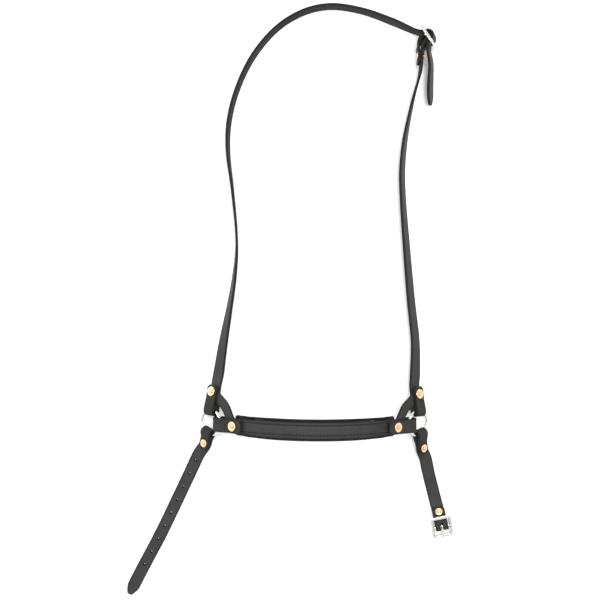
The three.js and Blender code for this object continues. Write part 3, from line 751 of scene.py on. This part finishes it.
def punched_hole(stations, distance):
    """A punched hole is as wide as the punch on the face side and narrows to the back."""
    station = station_at(stations, distance)
    face = station["face"] * STRAP_THICKNESS
    middle = PUNCHED_HOLE - PUNCHED_HOLE_TAPER * STRAP_THICKNESS / 2
    return (station["at"] - face, station["at"] + face, middle, PUNCHED_HOLE_TAPER)


# ---- Rings ----
WELD_SWELL = (0.07, 3.2)  # (share of the wire's radius, half its length in degrees)
WELD_NICK = (0.03, 1.1)


def ring_frame(centre, to_nose):
    """A ring's centre and its directions: towards the noseband, to the poll, out of its face."""
    level = Vector((to_nose, 0, 0))
    return {
        "centre": centre,
        "nose": turned(level, UP, RING_TILT),
        "poll": Vector((0, 1, 0)),
        "face": turned(UP, -level, RING_TILT),
    }


def ring_seat(ring, angle, dip=0.0):
    """Where a strap's loop lies round the wire: from the nose side, dipping towards the table."""
    out = turned(ring["nose"], ring["poll"], angle)
    origin = ring["centre"] + out * (RING_RADIUS - LOOP_INSET)
    return Seat(origin, turned(out, -ring["face"], dip), turned(ring["face"], out, dip))


def dropped(seat):
    """The noseband's ends sit a little towards the chin from the ring's middle."""
    return Seat(seat.origin - Vector((0, NOSE_DROP, 0)), seat.along, seat.face)


def new_ring(name, ring, weld_at):
    """A welded wire ring: round wire, a little fuller where its ends were joined."""
    rings = []
    around, sides = 120, 24
    for i in range(around):
        turn = 360 * i / around
        out = turned(ring["nose"], ring["poll"], turn)
        gap = (turn - weld_at + 180) % 360 - 180
        swell, nick = (
            share * math.exp(-(gap / reach) ** 2) for share, reach in (WELD_SWELL, WELD_NICK)
        )
        wire = RING_WIRE * (1 + swell - nick)
        centre = ring["centre"] + out * RING_RADIUS
        rings.append(circle(centre, out * wire, ring["face"] * wire, sides))
    if ring["nose"].cross(ring["poll"]).dot(ring["face"]) > 0:
        rings.reverse()
    new_piece(f"{name}_look", *skin(rings, closed=True), [NICKEL], name, name, "nickel")


left_ring = ring_frame(RING_LEFT, 1)
right_ring = ring_frame(RING_RIGHT, -1)
new_ring("left_ring", left_ring, weld_at=205)
new_ring("right_ring", right_ring, weld_at=150)

# ---- Where everything is riveted ----
left_cheek = ring_seat(left_ring, LEFT_CHEEK_ANGLE, CHEEK_DIP)
right_cheek = ring_seat(right_ring, RIGHT_CHEEK_ANGLE, CHEEK_DIP)
left_nose = dropped(ring_seat(left_ring, 0))
right_nose = dropped(ring_seat(right_ring, 0))
left_chin = ring_seat(left_ring, LEFT_CHIN_ANGLE, LEFT_CHIN_DIP)
right_chin = ring_seat(right_ring, RIGHT_CHIN_ANGLE, RIGHT_CHIN_DIP)

chin_heading = heading(CHIN_BUCKLE_HEADING)
chin_buckle_fold = Seat(CHIN_BUCKLE_AT, turned(-chin_heading, -UP, CHIN_BUCKLE_SLOPE), UP)
head_buckle_level = heading(HEAD_BUCKLE_HEADING)
head_buckle_face = turned(UP, heading(HEAD_BUCKLE_HEADING + 90), HEAD_BUCKLE_LEAN)
head_buckle = Seat(
    HEAD_BUCKLE_AT,
    turned(head_buckle_level, head_buckle_level.cross(head_buckle_face), HEAD_BUCKLE_ROLL),
    head_buckle_face,
)
head_bar = head_buckle.moved(0, -BUCKLE_DROP)
head_rivet_seat = Seat(HEAD_RIVET_AT, HEAD_RIVET_ALONG, HEAD_RIVET_FACE)


def riveted(fold, distance, offset, rivet, body="root"):
    """A rivet's place: its seat along a fold, the outer layers' offset, and what it rides on."""
    return {"seat": fold.moved(distance), "offset": offset, "rivet": rivet, "body": body}


rivets = {
    "left_cheek": riveted(left_cheek, LEFT_CHEEK_RIVET, BRACED, LARGE_RIVET),
    "right_cheek": riveted(right_cheek, RIGHT_CHEEK_RIVET, BRACED, LARGE_RIVET),
    "left_nose": riveted(left_nose, NOSE_RIVET, BRACED, LARGE_RIVET),
    "right_nose": riveted(right_nose, NOSE_RIVET, BRACED, LARGE_RIVET),
    "left_chin": riveted(left_chin, LEFT_CHIN_RIVET, PLAIN, SMALL_RIVET, "left_chin_strap"),
    "right_chin": riveted(right_chin, RIGHT_CHIN_RIVET, PLAIN, SMALL_RIVET, "right_chin_strap"),
    "chin_buckle": riveted(
        chin_buckle_fold, CHIN_BUCKLE_RIVET, PLAIN, BUCKLE_RIVET, "right_chin_strap",
    ),
    "head_buckle": riveted(head_rivet_seat, 0, PLAIN, BUCKLE_RIVET),
}


# ---- Rivets ----
def hammered(seat, profile, sides, wobble, phase):
    """A turned shape round the seat's face direction from (radius, height) pairs, and a little
    out of round."""
    rings = []
    for radius, height in profile:
        ring = []
        for j in range(sides):
            turn = math.tau * j / sides
            uneven = math.sin(2 * turn + phase) + 0.6 * math.sin(5 * turn + 2 * phase)
            reach = radius * (1 + wobble * uneven)
            ring.append(seat.at(reach * math.cos(turn), height, reach * math.sin(turn)))
        rings.append(ring)
    return rings


def raised(base, profile):
    return [(radius, base + height) for radius, height in profile]


def new_rivet(name, place, phase):
    """A flat head behind the leather, the shank, and a peened dome over its dished burr."""
    seat, rivet, body = place["seat"], place["rivet"], place["body"]
    bearing = place["offset"] + STRAP_THICKNESS / 2 + CLEARANCE
    tail = bearing + BURR_THICKNESS
    head, shank, dome, burr = rivet["head"], rivet["shank"], rivet["dome"], rivet["burr"]
    profile = raised(-bearing, [
        (0.05, -HEAD_THICKNESS), (head * 0.6, -HEAD_THICKNESS), (head - 0.6, -HEAD_THICKNESS + 0.06),
        (head - 0.15, -HEAD_THICKNESS * 0.7), (head, -HEAD_THICKNESS * 0.35), (head - 0.1, -0.02),
        (head - 0.4, 0), (shank + 0.2, 0), (shank, 0.2),
    ]) + raised(tail, [
        (shank, -0.15), (dome * 0.9, -0.1), (dome, 0.12), (dome * 0.98, 0.35), (dome * 0.9, 0.62),
        (dome * 0.76, 0.85), (dome * 0.56, 1.03), (dome * 0.32, 1.13), (0.05, 1.17),
    ])
    rings = hammered(seat, profile, 40, 0.012, phase)
    new_piece(
        f"{name}_rivet_look", *skin(rings, flip=True), [COPPER], body, f"{name}_rivet", "copper",
        SHARP_METAL,
    )
    inner = shank + 0.25
    washer = raised(bearing, [
        (inner, 0.1), (inner + 0.15, 0), (burr - 0.45, 0), (burr - 0.08, 0.16), (burr, 0.45),
        (burr - 0.1, 0.78), (burr - 0.38, 1.0), (burr - 0.75, 1.06), (mix(dome, burr, 0.62), 1.05),
        (mix(dome, burr, 0.45), 0.98), (mix(dome, burr, 0.3), 0.78), (dome + 0.3, 0.66),
        (dome * 0.8, 0.62), (inner, 0.6),
    ])
    rings = hammered(seat, washer, 48, 0.01, phase + 1)
    # Burrs beside the buckles take the plain copper; the other burrs take the paler copper, a
    # painted highlight.
    new_piece(
        f"{name}_burr_look", *skin(rings, closed=True, flip=True),
        [COPPER if "buckle" in name else PAINTED_HIGHLIGHT_COPPER], body, f"{name}_burr", "copper", SHARP_METAL,
    )


for index, (rivet_name, rivet_place) in enumerate(rivets.items()):
    new_rivet(rivet_name, rivet_place, index * 1.7)


# ---- Head strap: left ring, over the poll, through the head buckle, to the hanging end ----
HEAD_LIFT = HEAD_BUCKLE_AT.z - STRAP_WIDTH / 2 - 1  # the straps beside the buckle are held up
TONGUE_CROSSING = (-8.3, -1.4)  # where the head strap lies across the tongue
TONGUE_CUT = (3.9, 11.5)  # the tongue's hole, from the bar out


def buckled(along, face):
    """A control of the head strap's way through its buckle."""
    return held(head_buckle.at(along, face), head_buckle.across)


head_stations = strap_path([
    *fold_controls(
        left_cheek, LOOP_RADIUS, LEFT_CHEEK_RIVET, LEFT_CHEEK_TAB, BRACED, LEFT_CHEEK_TAB,
    ),
    resting(-111.3, -101, 32, 1),
    resting(-104.5, -57, 48),
    resting(-96.6, -13, 64),
    resting(-89.6, 31, 74),
    resting(-86.1, 78, 85),
    resting(-91.9, 150, 90),
    resting(-98.2, 205, 97),
    resting(-96.6, 245, 99),
    resting(-85.1, 289.7, 98),
    resting(-62.2, 336.2, 98),
    resting(-28.3, 374.6, 95),
    resting(8.2, 395.6, 94),
    resting(43, 402.3, 92),
    resting(84.9, 396.3, 92),
    resting(128.6, 380.6, 96, 0.4),
    buckled(-20.5, -11.6),
    buckled(-12, -5.6),
    buckled(*TONGUE_CROSSING),
    buckled(-5.9, 4.5),
    buckled(0, 7.2),
    buckled(5.8, 4.7),
    buckled(8.1, 0.2),
    buckled(8.6, -3.4),
    buckled(12, -6.4),
    buckled(18, -9.8),
    resting(178.8, 322, 62, HEAD_LIFT * 0.6),
    resting(178.9, 295, 60),
    resting(178.7, 267, 60),
], POINTED_END)
buckled_length = length_to(head_stations, head_buckle.at(*TONGUE_CROSSING))
head_holes = [rivet_hole(rivets["left_cheek"])]
# The buckled hole is stretched upwards by the tongue's play.
for rise in (TONGUE_RISE, TONGUE_RISE + TONGUE_PLAY):
    direction = turned(-head_buckle.along, head_buckle.face, rise)
    start, end = (head_bar.origin + direction * reach for reach in TONGUE_CUT)
    head_holes.append((start, end, TONGUE_SLOT / 2 + 0.2, 0))
for number in range(1, HEAD_HOLES + 1):
    head_holes.append(punched_hole(head_stations, buckled_length - number * HEAD_HOLE_PITCH))
new_strap("head_strap", head_stations, "root", head_holes)

# ---- Right cheek strap: right ring up to the head buckle's centre bar ----
BAR_FOLD = BUCKLE_BAR + CLEARANCE + STRAP_THICKNESS / 2


def on_head_bar(degrees):
    out = turned(head_bar.along, head_bar.face, degrees)
    return held(head_bar.origin + out * BAR_FOLD, -head_bar.across)


def beside_rivet(along, face):
    return held(head_rivet_seat.at(along, face), -head_rivet_seat.across)


cheek_stations = strap_path([
    *fold_controls(
        right_cheek, LOOP_RADIUS, RIGHT_CHEEK_RIVET, RIGHT_CHEEK_TAB, BRACED, RIGHT_CHEEK_TAB,
    ),
    resting(158.1, -100.8, -34, 1),
    resting(158.4, -57, -46),
    resting(152.5, 0, -50),
    resting(146.1, 75, -56),
    resting(141.3, 140, -62),
    resting(140.3, 175, -63),
    resting(143.4, 213, -67),
    resting(149.9, 250, -76),
    resting(156.4, 280, -82, HEAD_LIFT * 0.3),
    beside_rivet(-22, -PLAIN),
    beside_rivet(-7, -PLAIN),
    beside_rivet(0, -PLAIN),
    held(head_buckle.at(8.9, -12.4), -head_buckle.across),
    *[on_head_bar(degrees) for degrees in (-25, 0, 30, 60, 90, 120, 150)],
    held(head_buckle.at(-4.4, -5.6), -head_buckle.across),
    held(head_buckle.at(-2.4, -11.5), -head_buckle.across),
    beside_rivet(10, PLAIN + 2.6),
    beside_rivet(0, PLAIN),
    beside_rivet(-6, PLAIN),
    beside_rivet(-12, PLAIN),
])


def tongue_slot(bar):
    """Cuts the fold open across its middle, where the tongue wraps round the bar."""
    half = TONGUE_SLOT / 2
    return (bar.at(0, 0, -half), bar.at(0, 0, half), BAR_FOLD + STRAP_THICKNESS, 0)


new_strap("right_cheek_strap", cheek_stations, "root", [
    rivet_hole(rivets["right_cheek"]), rivet_hole(rivets["head_buckle"]), tongue_slot(head_bar),
])

# ---- Noseband: face strap, pad and lining on one arch between the rings ----
arch_start = left_nose.at(NOSE_STRAIGHT)
arch_end = right_nose.at(NOSE_STRAIGHT)
arch_radius = (arch_end.x - arch_start.x) / 2 / math.sin(rad(RING_TILT))
arch_centre = (arch_start + arch_end) / 2 - UP * arch_radius * math.cos(rad(RING_TILT))


def on_arch(share, offset):
    """A place on the arch, `share` of the way from left to right, below its riveted plane."""
    angle = rad(RING_TILT) * (2 * share - 1)
    radius = arch_radius - offset
    return Vector((
        arch_centre.x + radius * math.sin(angle),
        mix(arch_start.y, arch_end.y, share),
        arch_centre.z + radius * math.cos(angle),
    ))


def arch_controls(offset, end_width, width, widening=1, count=12):
    """Controls along the arch, which widen from each end over a number of controls."""
    return [
        held(
            on_arch(i / count, offset), left_nose.across,
            mix(end_width, width, min(1, min(i, count - i) / widening)),
        )
        for i in range(count + 1)
    ]


def nose_fold(seat):
    controls = fold_controls(
        seat, NOSE_LOOP_RADIUS, NOSE_RIVET, NOSE_TAB, BRACED, width=NOSE_TAB_WIDTH,
    )
    return [{**control, "across": left_nose.across} for control in controls]


nose_stations = strap_path([
    *nose_fold(left_nose),
    *arch_controls(BRACED, NOSE_TAB_WIDTH, NOSE_WIDTH, 2),
    *reversed(nose_fold(right_nose)),
])
new_strap("noseband_strap", nose_stations, "root", [
    rivet_hole(rivets["left_nose"]), rivet_hole(rivets["right_nose"]),
], grooves=(STITCH_ROW,))

STRAP_BACK = BRACED + STRAP_THICKNESS / 2 + CLEARANCE
LINING_END = STRAP_BACK + HEAD_THICKNESS + CLEARANCE + LINING_THICKNESS / 2
LINING_MIDDLE = STRAP_BACK + PADDING_THICKNESS + CLEARANCE + LINING_THICKNESS / 2
PAST_HEAD = NOSE_RIVET + LARGE_RIVET["head"]
SOFT_STEP = 2.2


def sewn_in(x, reach):
    """How far the stitch rows pull the soft layers in, at a distance across: 1 at a row."""
    return math.exp(-((abs(x) - STITCH_ROW) / reach) ** 2)


def lining_end(seat, along):
    return held(seat.at(along, -LINING_END), left_nose.across, LINING_END_WIDTH)


lining_stations = stations_through([
    lining_end(left_nose, LINING_START),
    lining_end(left_nose, PAST_HEAD),
    *arch_controls(LINING_MIDDLE, LINING_END_WIDTH, LINING_WIDTH, 3)[1:-1],
    lining_end(right_nose, PAST_HEAD),
    lining_end(right_nose, LINING_START),
], SOFT_STEP)
LINING_LENGTH = lining_stations[-1]["travelled"]
LINING_STEPS = 44
LINING_CORNER = 2.5
LINING_MARGIN = (7.6, 5.2)  # where the margin starts to turn up, and over how far
SWELL_LENGTH = 14  # over which lining and pad reach their full height from their ends
LINING_SEAM = 0.9


def new_lining():
    """A soft sheet under the pad, whose margins turn up against the strap's back."""
    rings = []
    for station in lining_stations:
        from_end = min(station["travelled"], LINING_LENGTH - station["travelled"])
        corner = quarter_round(min(1, from_end / LINING_CORNER))
        half = station["width"] / 2 - LINING_CORNER * (1 - corner)
        filled = eased(clamped((from_end - PAST_HEAD + LINING_START) / SWELL_LENGTH))
        edge_lift = (PADDING_THICKNESS + CLEARANCE) * filled
        thin = LINING_THICKNESS / 2 * min(1.0, 0.4 + from_end)
        top, bottom = [], []
        for i in range(LINING_STEPS + 1):
            x = half * (2 * i / LINING_STEPS - 1)
            rise = edge_lift * eased(clamped((abs(x) - LINING_MARGIN[0]) / LINING_MARGIN[1]))
            seam = sewn_in(x, 1.1) * min(1.0, half / 12) * LINING_SEAM * filled
            roll = thin * quarter_round(min(1, (half - abs(x)) / thin))
            top.append(placed_on(station, x, rise + roll + seam * 0.6))
            bottom.append(placed_on(station, x, rise - roll + seam))
        rings.append(bottom + top[::-1])
    new_piece(
        "noseband_lining_look", *skin(rings), [SOFT], "root", "noseband_lining", "lining_leather",
    )


new_lining()

padding_stations = stations_through(
    arch_controls(
        STRAP_BACK + CLEARANCE / 2 + PADDING_THICKNESS / 2, PADDING_WIDTH, PADDING_WIDTH,
    )[1:-1],
    SOFT_STEP,
)
PADDING_LENGTH = padding_stations[-1]["travelled"]
PAD_SIDES = 48
PAD_ABOVE = 1.6
PAD_BELOW = 1.85
PAD_MIDDLE = 1.75  # where the pad's widest place lies, from its upper side
PAD_SEAM = 0.75
PAD_INSET = 0.4


def new_padding():
    """A crowned felt pad: flat against the strap, full below, thin at its sides and ends."""
    rings = []
    for station in padding_stations:
        from_end = min(station["travelled"], PADDING_LENGTH - station["travelled"])
        swell = max(math.sqrt(0.02), quarter_round(min(1, from_end / SWELL_LENGTH)))
        half = (PADDING_WIDTH / 2 - PAD_INSET) * mix(0.8, 1, swell)
        ring = []
        for i in range(PAD_SIDES):
            turn = math.tau * i / PAD_SIDES
            x = half * squarish(math.cos(turn), 0.8)
            side = math.sin(turn)
            full = squarish(side, 0.75) * (PAD_BELOW if side < 0 else PAD_ABOVE)
            seam = PAD_SEAM * sewn_in(x, 1.2) * (side < 0)
            height = (full + seam + PADDING_THICKNESS / 2 - PAD_MIDDLE) * swell
            ring.append(placed_on(station, x, height))
        rings.append(ring)
    made = new_piece(
        "noseband_padding_look", *skin(rings), [FELT], "root", "noseband_padding", "padding",
    )


new_padding()


# ---- Stitching ----
HALF_STITCH = ((0, 1.04, 0), (0.22, 1, 0.03), (0.4, 0.85, 0.22), (0.5, 0.45, 0.62))
STITCH_SHAPE = [(-share, size, sink) for share, size, sink in HALF_STITCH[:0:-1]] + [*HALF_STITCH]
STITCH_SLANT = 0.12
FACE_STITCH_SINK = 0.2
BACK_STITCH_SINK = 0.85
BACK_STITCH_START = 16


def stitch(centre, along, out):
    """One short stitch: a round thread that dives into the leather at both ends. Its shape is
    (share of the length, share of the radius, how deep it sinks)."""
    side = out.cross(along).normalized()
    rings = []
    for share, size, sink in STITCH_SHAPE:
        middle = centre + along * share * STITCH_LENGTH - out * sink * STITCH_RADIUS * 1.6
        reach = STITCH_RADIUS * size
        rings.append(circle(middle, side * reach, out * reach, 10))
    return skin(rings)


def new_stitching(name, stations, start, end, lift, out_sign):
    """Two rows of stitches between two distances along a strap, on one of its sides."""
    stitches = []
    count = int((end - start) / STITCH_PITCH)
    first = (start + end - (count - 1) * STITCH_PITCH) / 2
    for row in (-STITCH_ROW, STITCH_ROW):
        for i in range(count):
            station = station_at(stations, first + i * STITCH_PITCH)
            out = station["face"].normalized() * out_sign
            sideways = station["across"] * STITCH_SLANT * math.copysign(1, row)
            slant = (station["tangent"] + sideways).normalized()
            centre = placed_on(station, row, out_sign * lift)
            stitches.append(stitch(centre, slant, out))
    new_piece(name, *joined(*stitches), [THREAD], "root", None, "thread", SHARP_ROUND)


left_tab_end = length_to(nose_stations, left_nose.at(NOSE_TAB, -BRACED))
right_tab_end = length_to(nose_stations, right_nose.at(NOSE_TAB, -BRACED))
new_stitching(
    "noseband_face_stitching", nose_stations, left_tab_end + 1, right_tab_end - 1,
    STRAP_THICKNESS / 2 - FACE_STITCH_SINK, 1,
)
new_stitching(
    "noseband_back_stitching", lining_stations, BACK_STITCH_START,
    LINING_LENGTH - BACK_STITCH_START, LINING_THICKNESS / 2 - BACK_STITCH_SINK, -1,
)

# ---- Brace straps: from each cheek rivet to the nose rivet, between the folded layers ----
def beyond(seat, direction, distance):
    return held(seat.origin + direction * distance, seat.face.cross(direction), BRACE_WIDTH)


def new_brace(name, cheek_end, nose_end):
    cheek_seat, nose_seat = cheek_end["seat"], nose_end["seat"]
    run = (nose_seat.origin - cheek_seat.origin).normalized()
    start_run = (run - cheek_seat.face * run.dot(cheek_seat.face)).normalized()
    end_run = (run - nose_seat.face * run.dot(nose_seat.face)).normalized()
    outward = (cheek_seat.along + nose_seat.along).normalized()
    halfway = (cheek_seat.origin + nose_seat.origin) / 2 + outward * BRACE_BULGE
    stations = strap_path([
        beyond(cheek_seat, start_run, -BRACE_OVERRUN),
        beyond(cheek_seat, start_run, 0),
        beyond(cheek_seat, start_run, BRACE_FLAT),
        held(halfway, (cheek_seat.face + nose_seat.face).cross(run).normalized(), BRACE_WIDTH),
        beyond(nose_seat, end_run, -BRACE_FLAT),
        beyond(nose_seat, end_run, 0),
        beyond(nose_seat, end_run, BRACE_OVERRUN),
    ], step=1.6)
    holes = [rivet_hole(cheek_end), rivet_hole(nose_end)]
    new_strap(name, stations, "root", holes, BRACE_THICKNESS)


new_brace("left_brace_strap", rivets["left_cheek"], rivets["left_nose"])
new_brace("right_brace_strap", rivets["right_cheek"], rivets["right_nose"])

# ---- Left chin strap: ring to pointed end, with its row of holes ----
left_chin_stations = strap_path([
    *fold_controls(left_chin, LOOP_RADIUS, LEFT_CHIN_RIVET, LEFT_CHIN_TAB, PLAIN),
    resting(-138.5, -211, 8, 0.4),
    resting(-148, -231, 2, 0.1),
    resting(-165, -267, 0),
    resting(-191.5, -322, 0),
    resting(-219, -374, 0),
    resting(-234.5, -404.5, 0),
], POINTED_END)
left_fold_length = length_to(left_chin_stations, left_chin.at(-LOOP_RADIUS - STRAP_THICKNESS / 2))
left_chin_holes = [rivet_hole(rivets["left_chin"])]
for number in range(CHIN_HOLES):
    distance = left_fold_length + CHIN_FIRST_HOLE + number * CHIN_HOLE_PITCH
    left_chin_holes.append(punched_hole(left_chin_stations, distance))
new_strap("left_chin_strap", left_chin_stations, "left_chin_strap", left_chin_holes)

# ---- Right chin strap: ring to the chin buckle's centre bar ----
chin_bar_fold = fold_controls(
    chin_buckle_fold, BUCKLE_BAR + CLEARANCE, CHIN_BUCKLE_RIVET, CHIN_BUCKLE_TAB, PLAIN,
)
right_chin_stations = strap_path([
    *fold_controls(right_chin, LOOP_RADIUS, RIGHT_CHIN_RIVET, RIGHT_CHIN_TAB, PLAIN),
    resting(172.5, -216, -9, 0.6),
    resting(177, -236, -3, 0.2),
    resting(181.8, -255.4, 0),
    resting(186.5, -274, 0),
    *[{**control, "across": -control["across"]} for control in reversed(chin_bar_fold)],
])
new_strap("right_chin_strap", right_chin_stations, "right_chin_strap", [
    rivet_hole(rivets["right_chin"]), rivet_hole(rivets["chin_buckle"]),
    tongue_slot(Seat(CHIN_BUCKLE_AT, chin_heading, UP)),
])


# ---- Buckles ----
BUCKLE_CORNER = 3.4
BUCKLE_SQUARENESS = 0.72
TIP_DENT = (0.45, 1.6)  # where the tongue rests: (depth, half its width)
BAR_SIDES = 20
TONGUE_WIRE = 1.15
TONGUE_PLAY_ON_BAR = 0.25
TONGUE_SIDES = 16


def rounded_rectangle(width, length, radius, corner_steps=8, side_steps=6):
    """Points and outward directions round a rounded rectangle, anticlockwise."""
    corners = []
    for sx, sy, start in ((1, -1, -90), (1, 1, 0), (-1, 1, 90), (-1, -1, 180)):
        centre = Vector((sx * (width / 2 - radius), sy * (length / 2 - radius), 0))
        outs = [heading(start + 90 * i / corner_steps) for i in range(corner_steps + 1)]
        corners.append([(centre + out * radius, out) for out in outs])
    path = []
    for corner, following in zip(corners, corners[1:] + corners[:1]):
        path += corner
        end, out = corner[-1]
        for j in range(1, side_steps):
            path.append((mix(end, following[0][0], j / side_steps), out))
    return path


def new_buckle_frame(name, seat, towards_tip, body):
    """A cast frame of soft rounded section, with a round bar across its middle."""
    placed = Seat(seat.origin, seat.along * towards_tip, seat.face)
    sides = 28
    rings = []
    for at, out in rounded_rectangle(
        BUCKLE_WIDTH - BUCKLE_SIDE, BUCKLE_LENGTH - BUCKLE_SIDE, BUCKLE_CORNER,
    ):
        ring = []
        for j in range(sides):
            turn = math.tau * j / sides
            outward = squarish(math.cos(turn), BUCKLE_SQUARENESS) * BUCKLE_SIDE / 2
            height = squarish(math.sin(turn), BUCKLE_SQUARENESS) * BUCKLE_THICKNESS / 2
            if at.y > 0 and height > 0:
                depth, reach = TIP_DENT
                height -= depth * math.exp(-(at.x / reach) ** 2) * math.sin(turn)
            point = at + out * outward
            ring.append(placed.at(point.y, height, -point.x))
        rings.append(ring)
    reach = BUCKLE_WIDTH / 2 - BUCKLE_SIDE * 0.6
    bar_rings = []
    for i in range(15):
        x = mix(-reach, reach, i / 14)
        neck = BUCKLE_BAR * (1 + 0.12 * max(0.0, abs(x) / reach - 0.8) / 0.2)
        middle = placed.at(0, -BUCKLE_DROP, -x)
        bar_rings.append(circle(middle, placed.along * neck, placed.face * neck, BAR_SIDES))
    new_piece(
        f"{name}_look", *joined(skin(rings, closed=True, flip=True), skin(bar_rings)), [NICKEL],
        body, name, "nickel", SHARP_ROUND,
    )


def new_buckle_tongue(name, seat, towards_tip, body):
    """A formed wire tongue: wrapped round the bar, straight, tapered and blunt at its tip."""
    placed = Seat(seat.origin, seat.along * towards_tip, seat.face)
    middle = BUCKLE_BAR + TONGUE_PLAY_ON_BAR + TONGUE_WIRE
    tip = BUCKLE_LENGTH / 2 + 0.1
    tip_height = BUCKLE_DROP + BUCKLE_THICKNESS / 2 - 0.35 + TONGUE_WIRE
    path = []  # (along, height, share of the wire's radius)
    for i in range(25):
        turn = rad(-62 + 300 * i / 24)
        path.append((-middle * math.sin(turn), -middle * math.cos(turn), 1.0))
    leave_y, leave_z, _ = path[-1]
    for i in range(1, 17):
        share = i / 16
        y = mix(leave_y, tip, share)
        z = mix(leave_z, tip_height, share) + 0.5 * math.sin(math.pi * share)
        path.append((y, z, 1.0 - 0.22 * share))
    path.append((tip + 0.35, tip_height - 0.08, 0.66))
    path.append((tip + 0.6, tip_height - 0.15, 0.35))
    rings = []
    for i, (y, z, size) in enumerate(path):
        before = path[max(0, i - 1)]
        after = path[min(len(path) - 1, i + 1)]
        run = placed.along * (after[0] - before[0]) + placed.face * (after[1] - before[1])
        wire = TONGUE_WIRE * size
        rings.append(circle(
            placed.at(y, z), placed.across * wire * -1.15,
            run.cross(placed.across).normalized() * wire, TONGUE_SIDES,
        ))
    new_piece(
        f"{name}_look", *skin(rings, flip=True), [NICKEL], body, name, "nickel", SHARP_ROUND,
    )


tilted_bar = Seat(CHIN_BUCKLE_AT, turned(chin_heading, -UP, CHIN_BUCKLE_TILT), UP)
new_buckle_frame("chin_buckle_frame", tilted_bar.moved(0, BUCKLE_DROP), 1, "chin_buckle_frame")
new_buckle_tongue("chin_buckle_tongue", tilted_bar, 1, "chin_buckle_tongue")
new_buckle_frame("head_buckle_frame", head_buckle, -1, "root")
new_buckle_tongue("head_buckle_tongue", head_bar, -1, "head_buckle_tongue")


# ---- Table and light ----
TABLE_REACH = 6.0
TABLE_DROP = 0.0003
WORLD_LIGHT = 0.86


def new_floor():
    material, tree, shader, where = new_material("white_table", Roughness=0.9)
    paper = noise(tree, where, scale=900, detail=4)
    colour = ramp(tree, paper, [(0.3, (0.93, 0.93, 0.93)), (0.7, (0.96, 0.96, 0.96))])
    tree.links.new(colour, shader.inputs["Base Color"])
    shader.inputs["Emission Color"].default_value = (1, 1, 1, 1)
    shader.inputs["Emission Strength"].default_value = 0.06
    shader.inputs["Specular IOR Level"].default_value = 0.0
    mesh = bpy.data.meshes.new("table")
    corners = [
        (x * TABLE_REACH, y * TABLE_REACH, -TABLE_DROP)
        for x, y in ((-1, -1), (1, -1), (1, 1), (-1, 1))
    ]
    mesh.from_pydata(corners, [], [(0, 1, 2, 3)])
    mesh.materials.append(material)
    floor = linked("table", mesh)


new_floor()


def new_light(name, location, size, watts):
    light = bpy.data.lights.new(name, "AREA")
    light.shape = "RECTANGLE"
    light.size, light.size_y = size
    light.energy = watts
    made = linked(name, light)
    made.location = location
    made.rotation_mode = "QUATERNION"
    made.rotation_quaternion = (-Vector(location)).to_track_quat("-Z", "Y")


new_light("soft_top", location=(0.5, 0.4, 2.2), size=(1.4, 1.4), watts=44)
new_light("soft_left", location=(-1.7, 0.5, 1.3), size=(1.2, 0.8), watts=20)

world = bpy.data.worlds.new("studio")
scene.world = world
world.use_nodes = True
background = world.node_tree.nodes["Background"]
background.inputs["Color"].default_value = (1, 1, 1, 1)
background.inputs["Strength"].default_value = WORLD_LIGHT
scene.view_settings.view_transform = "Standard"
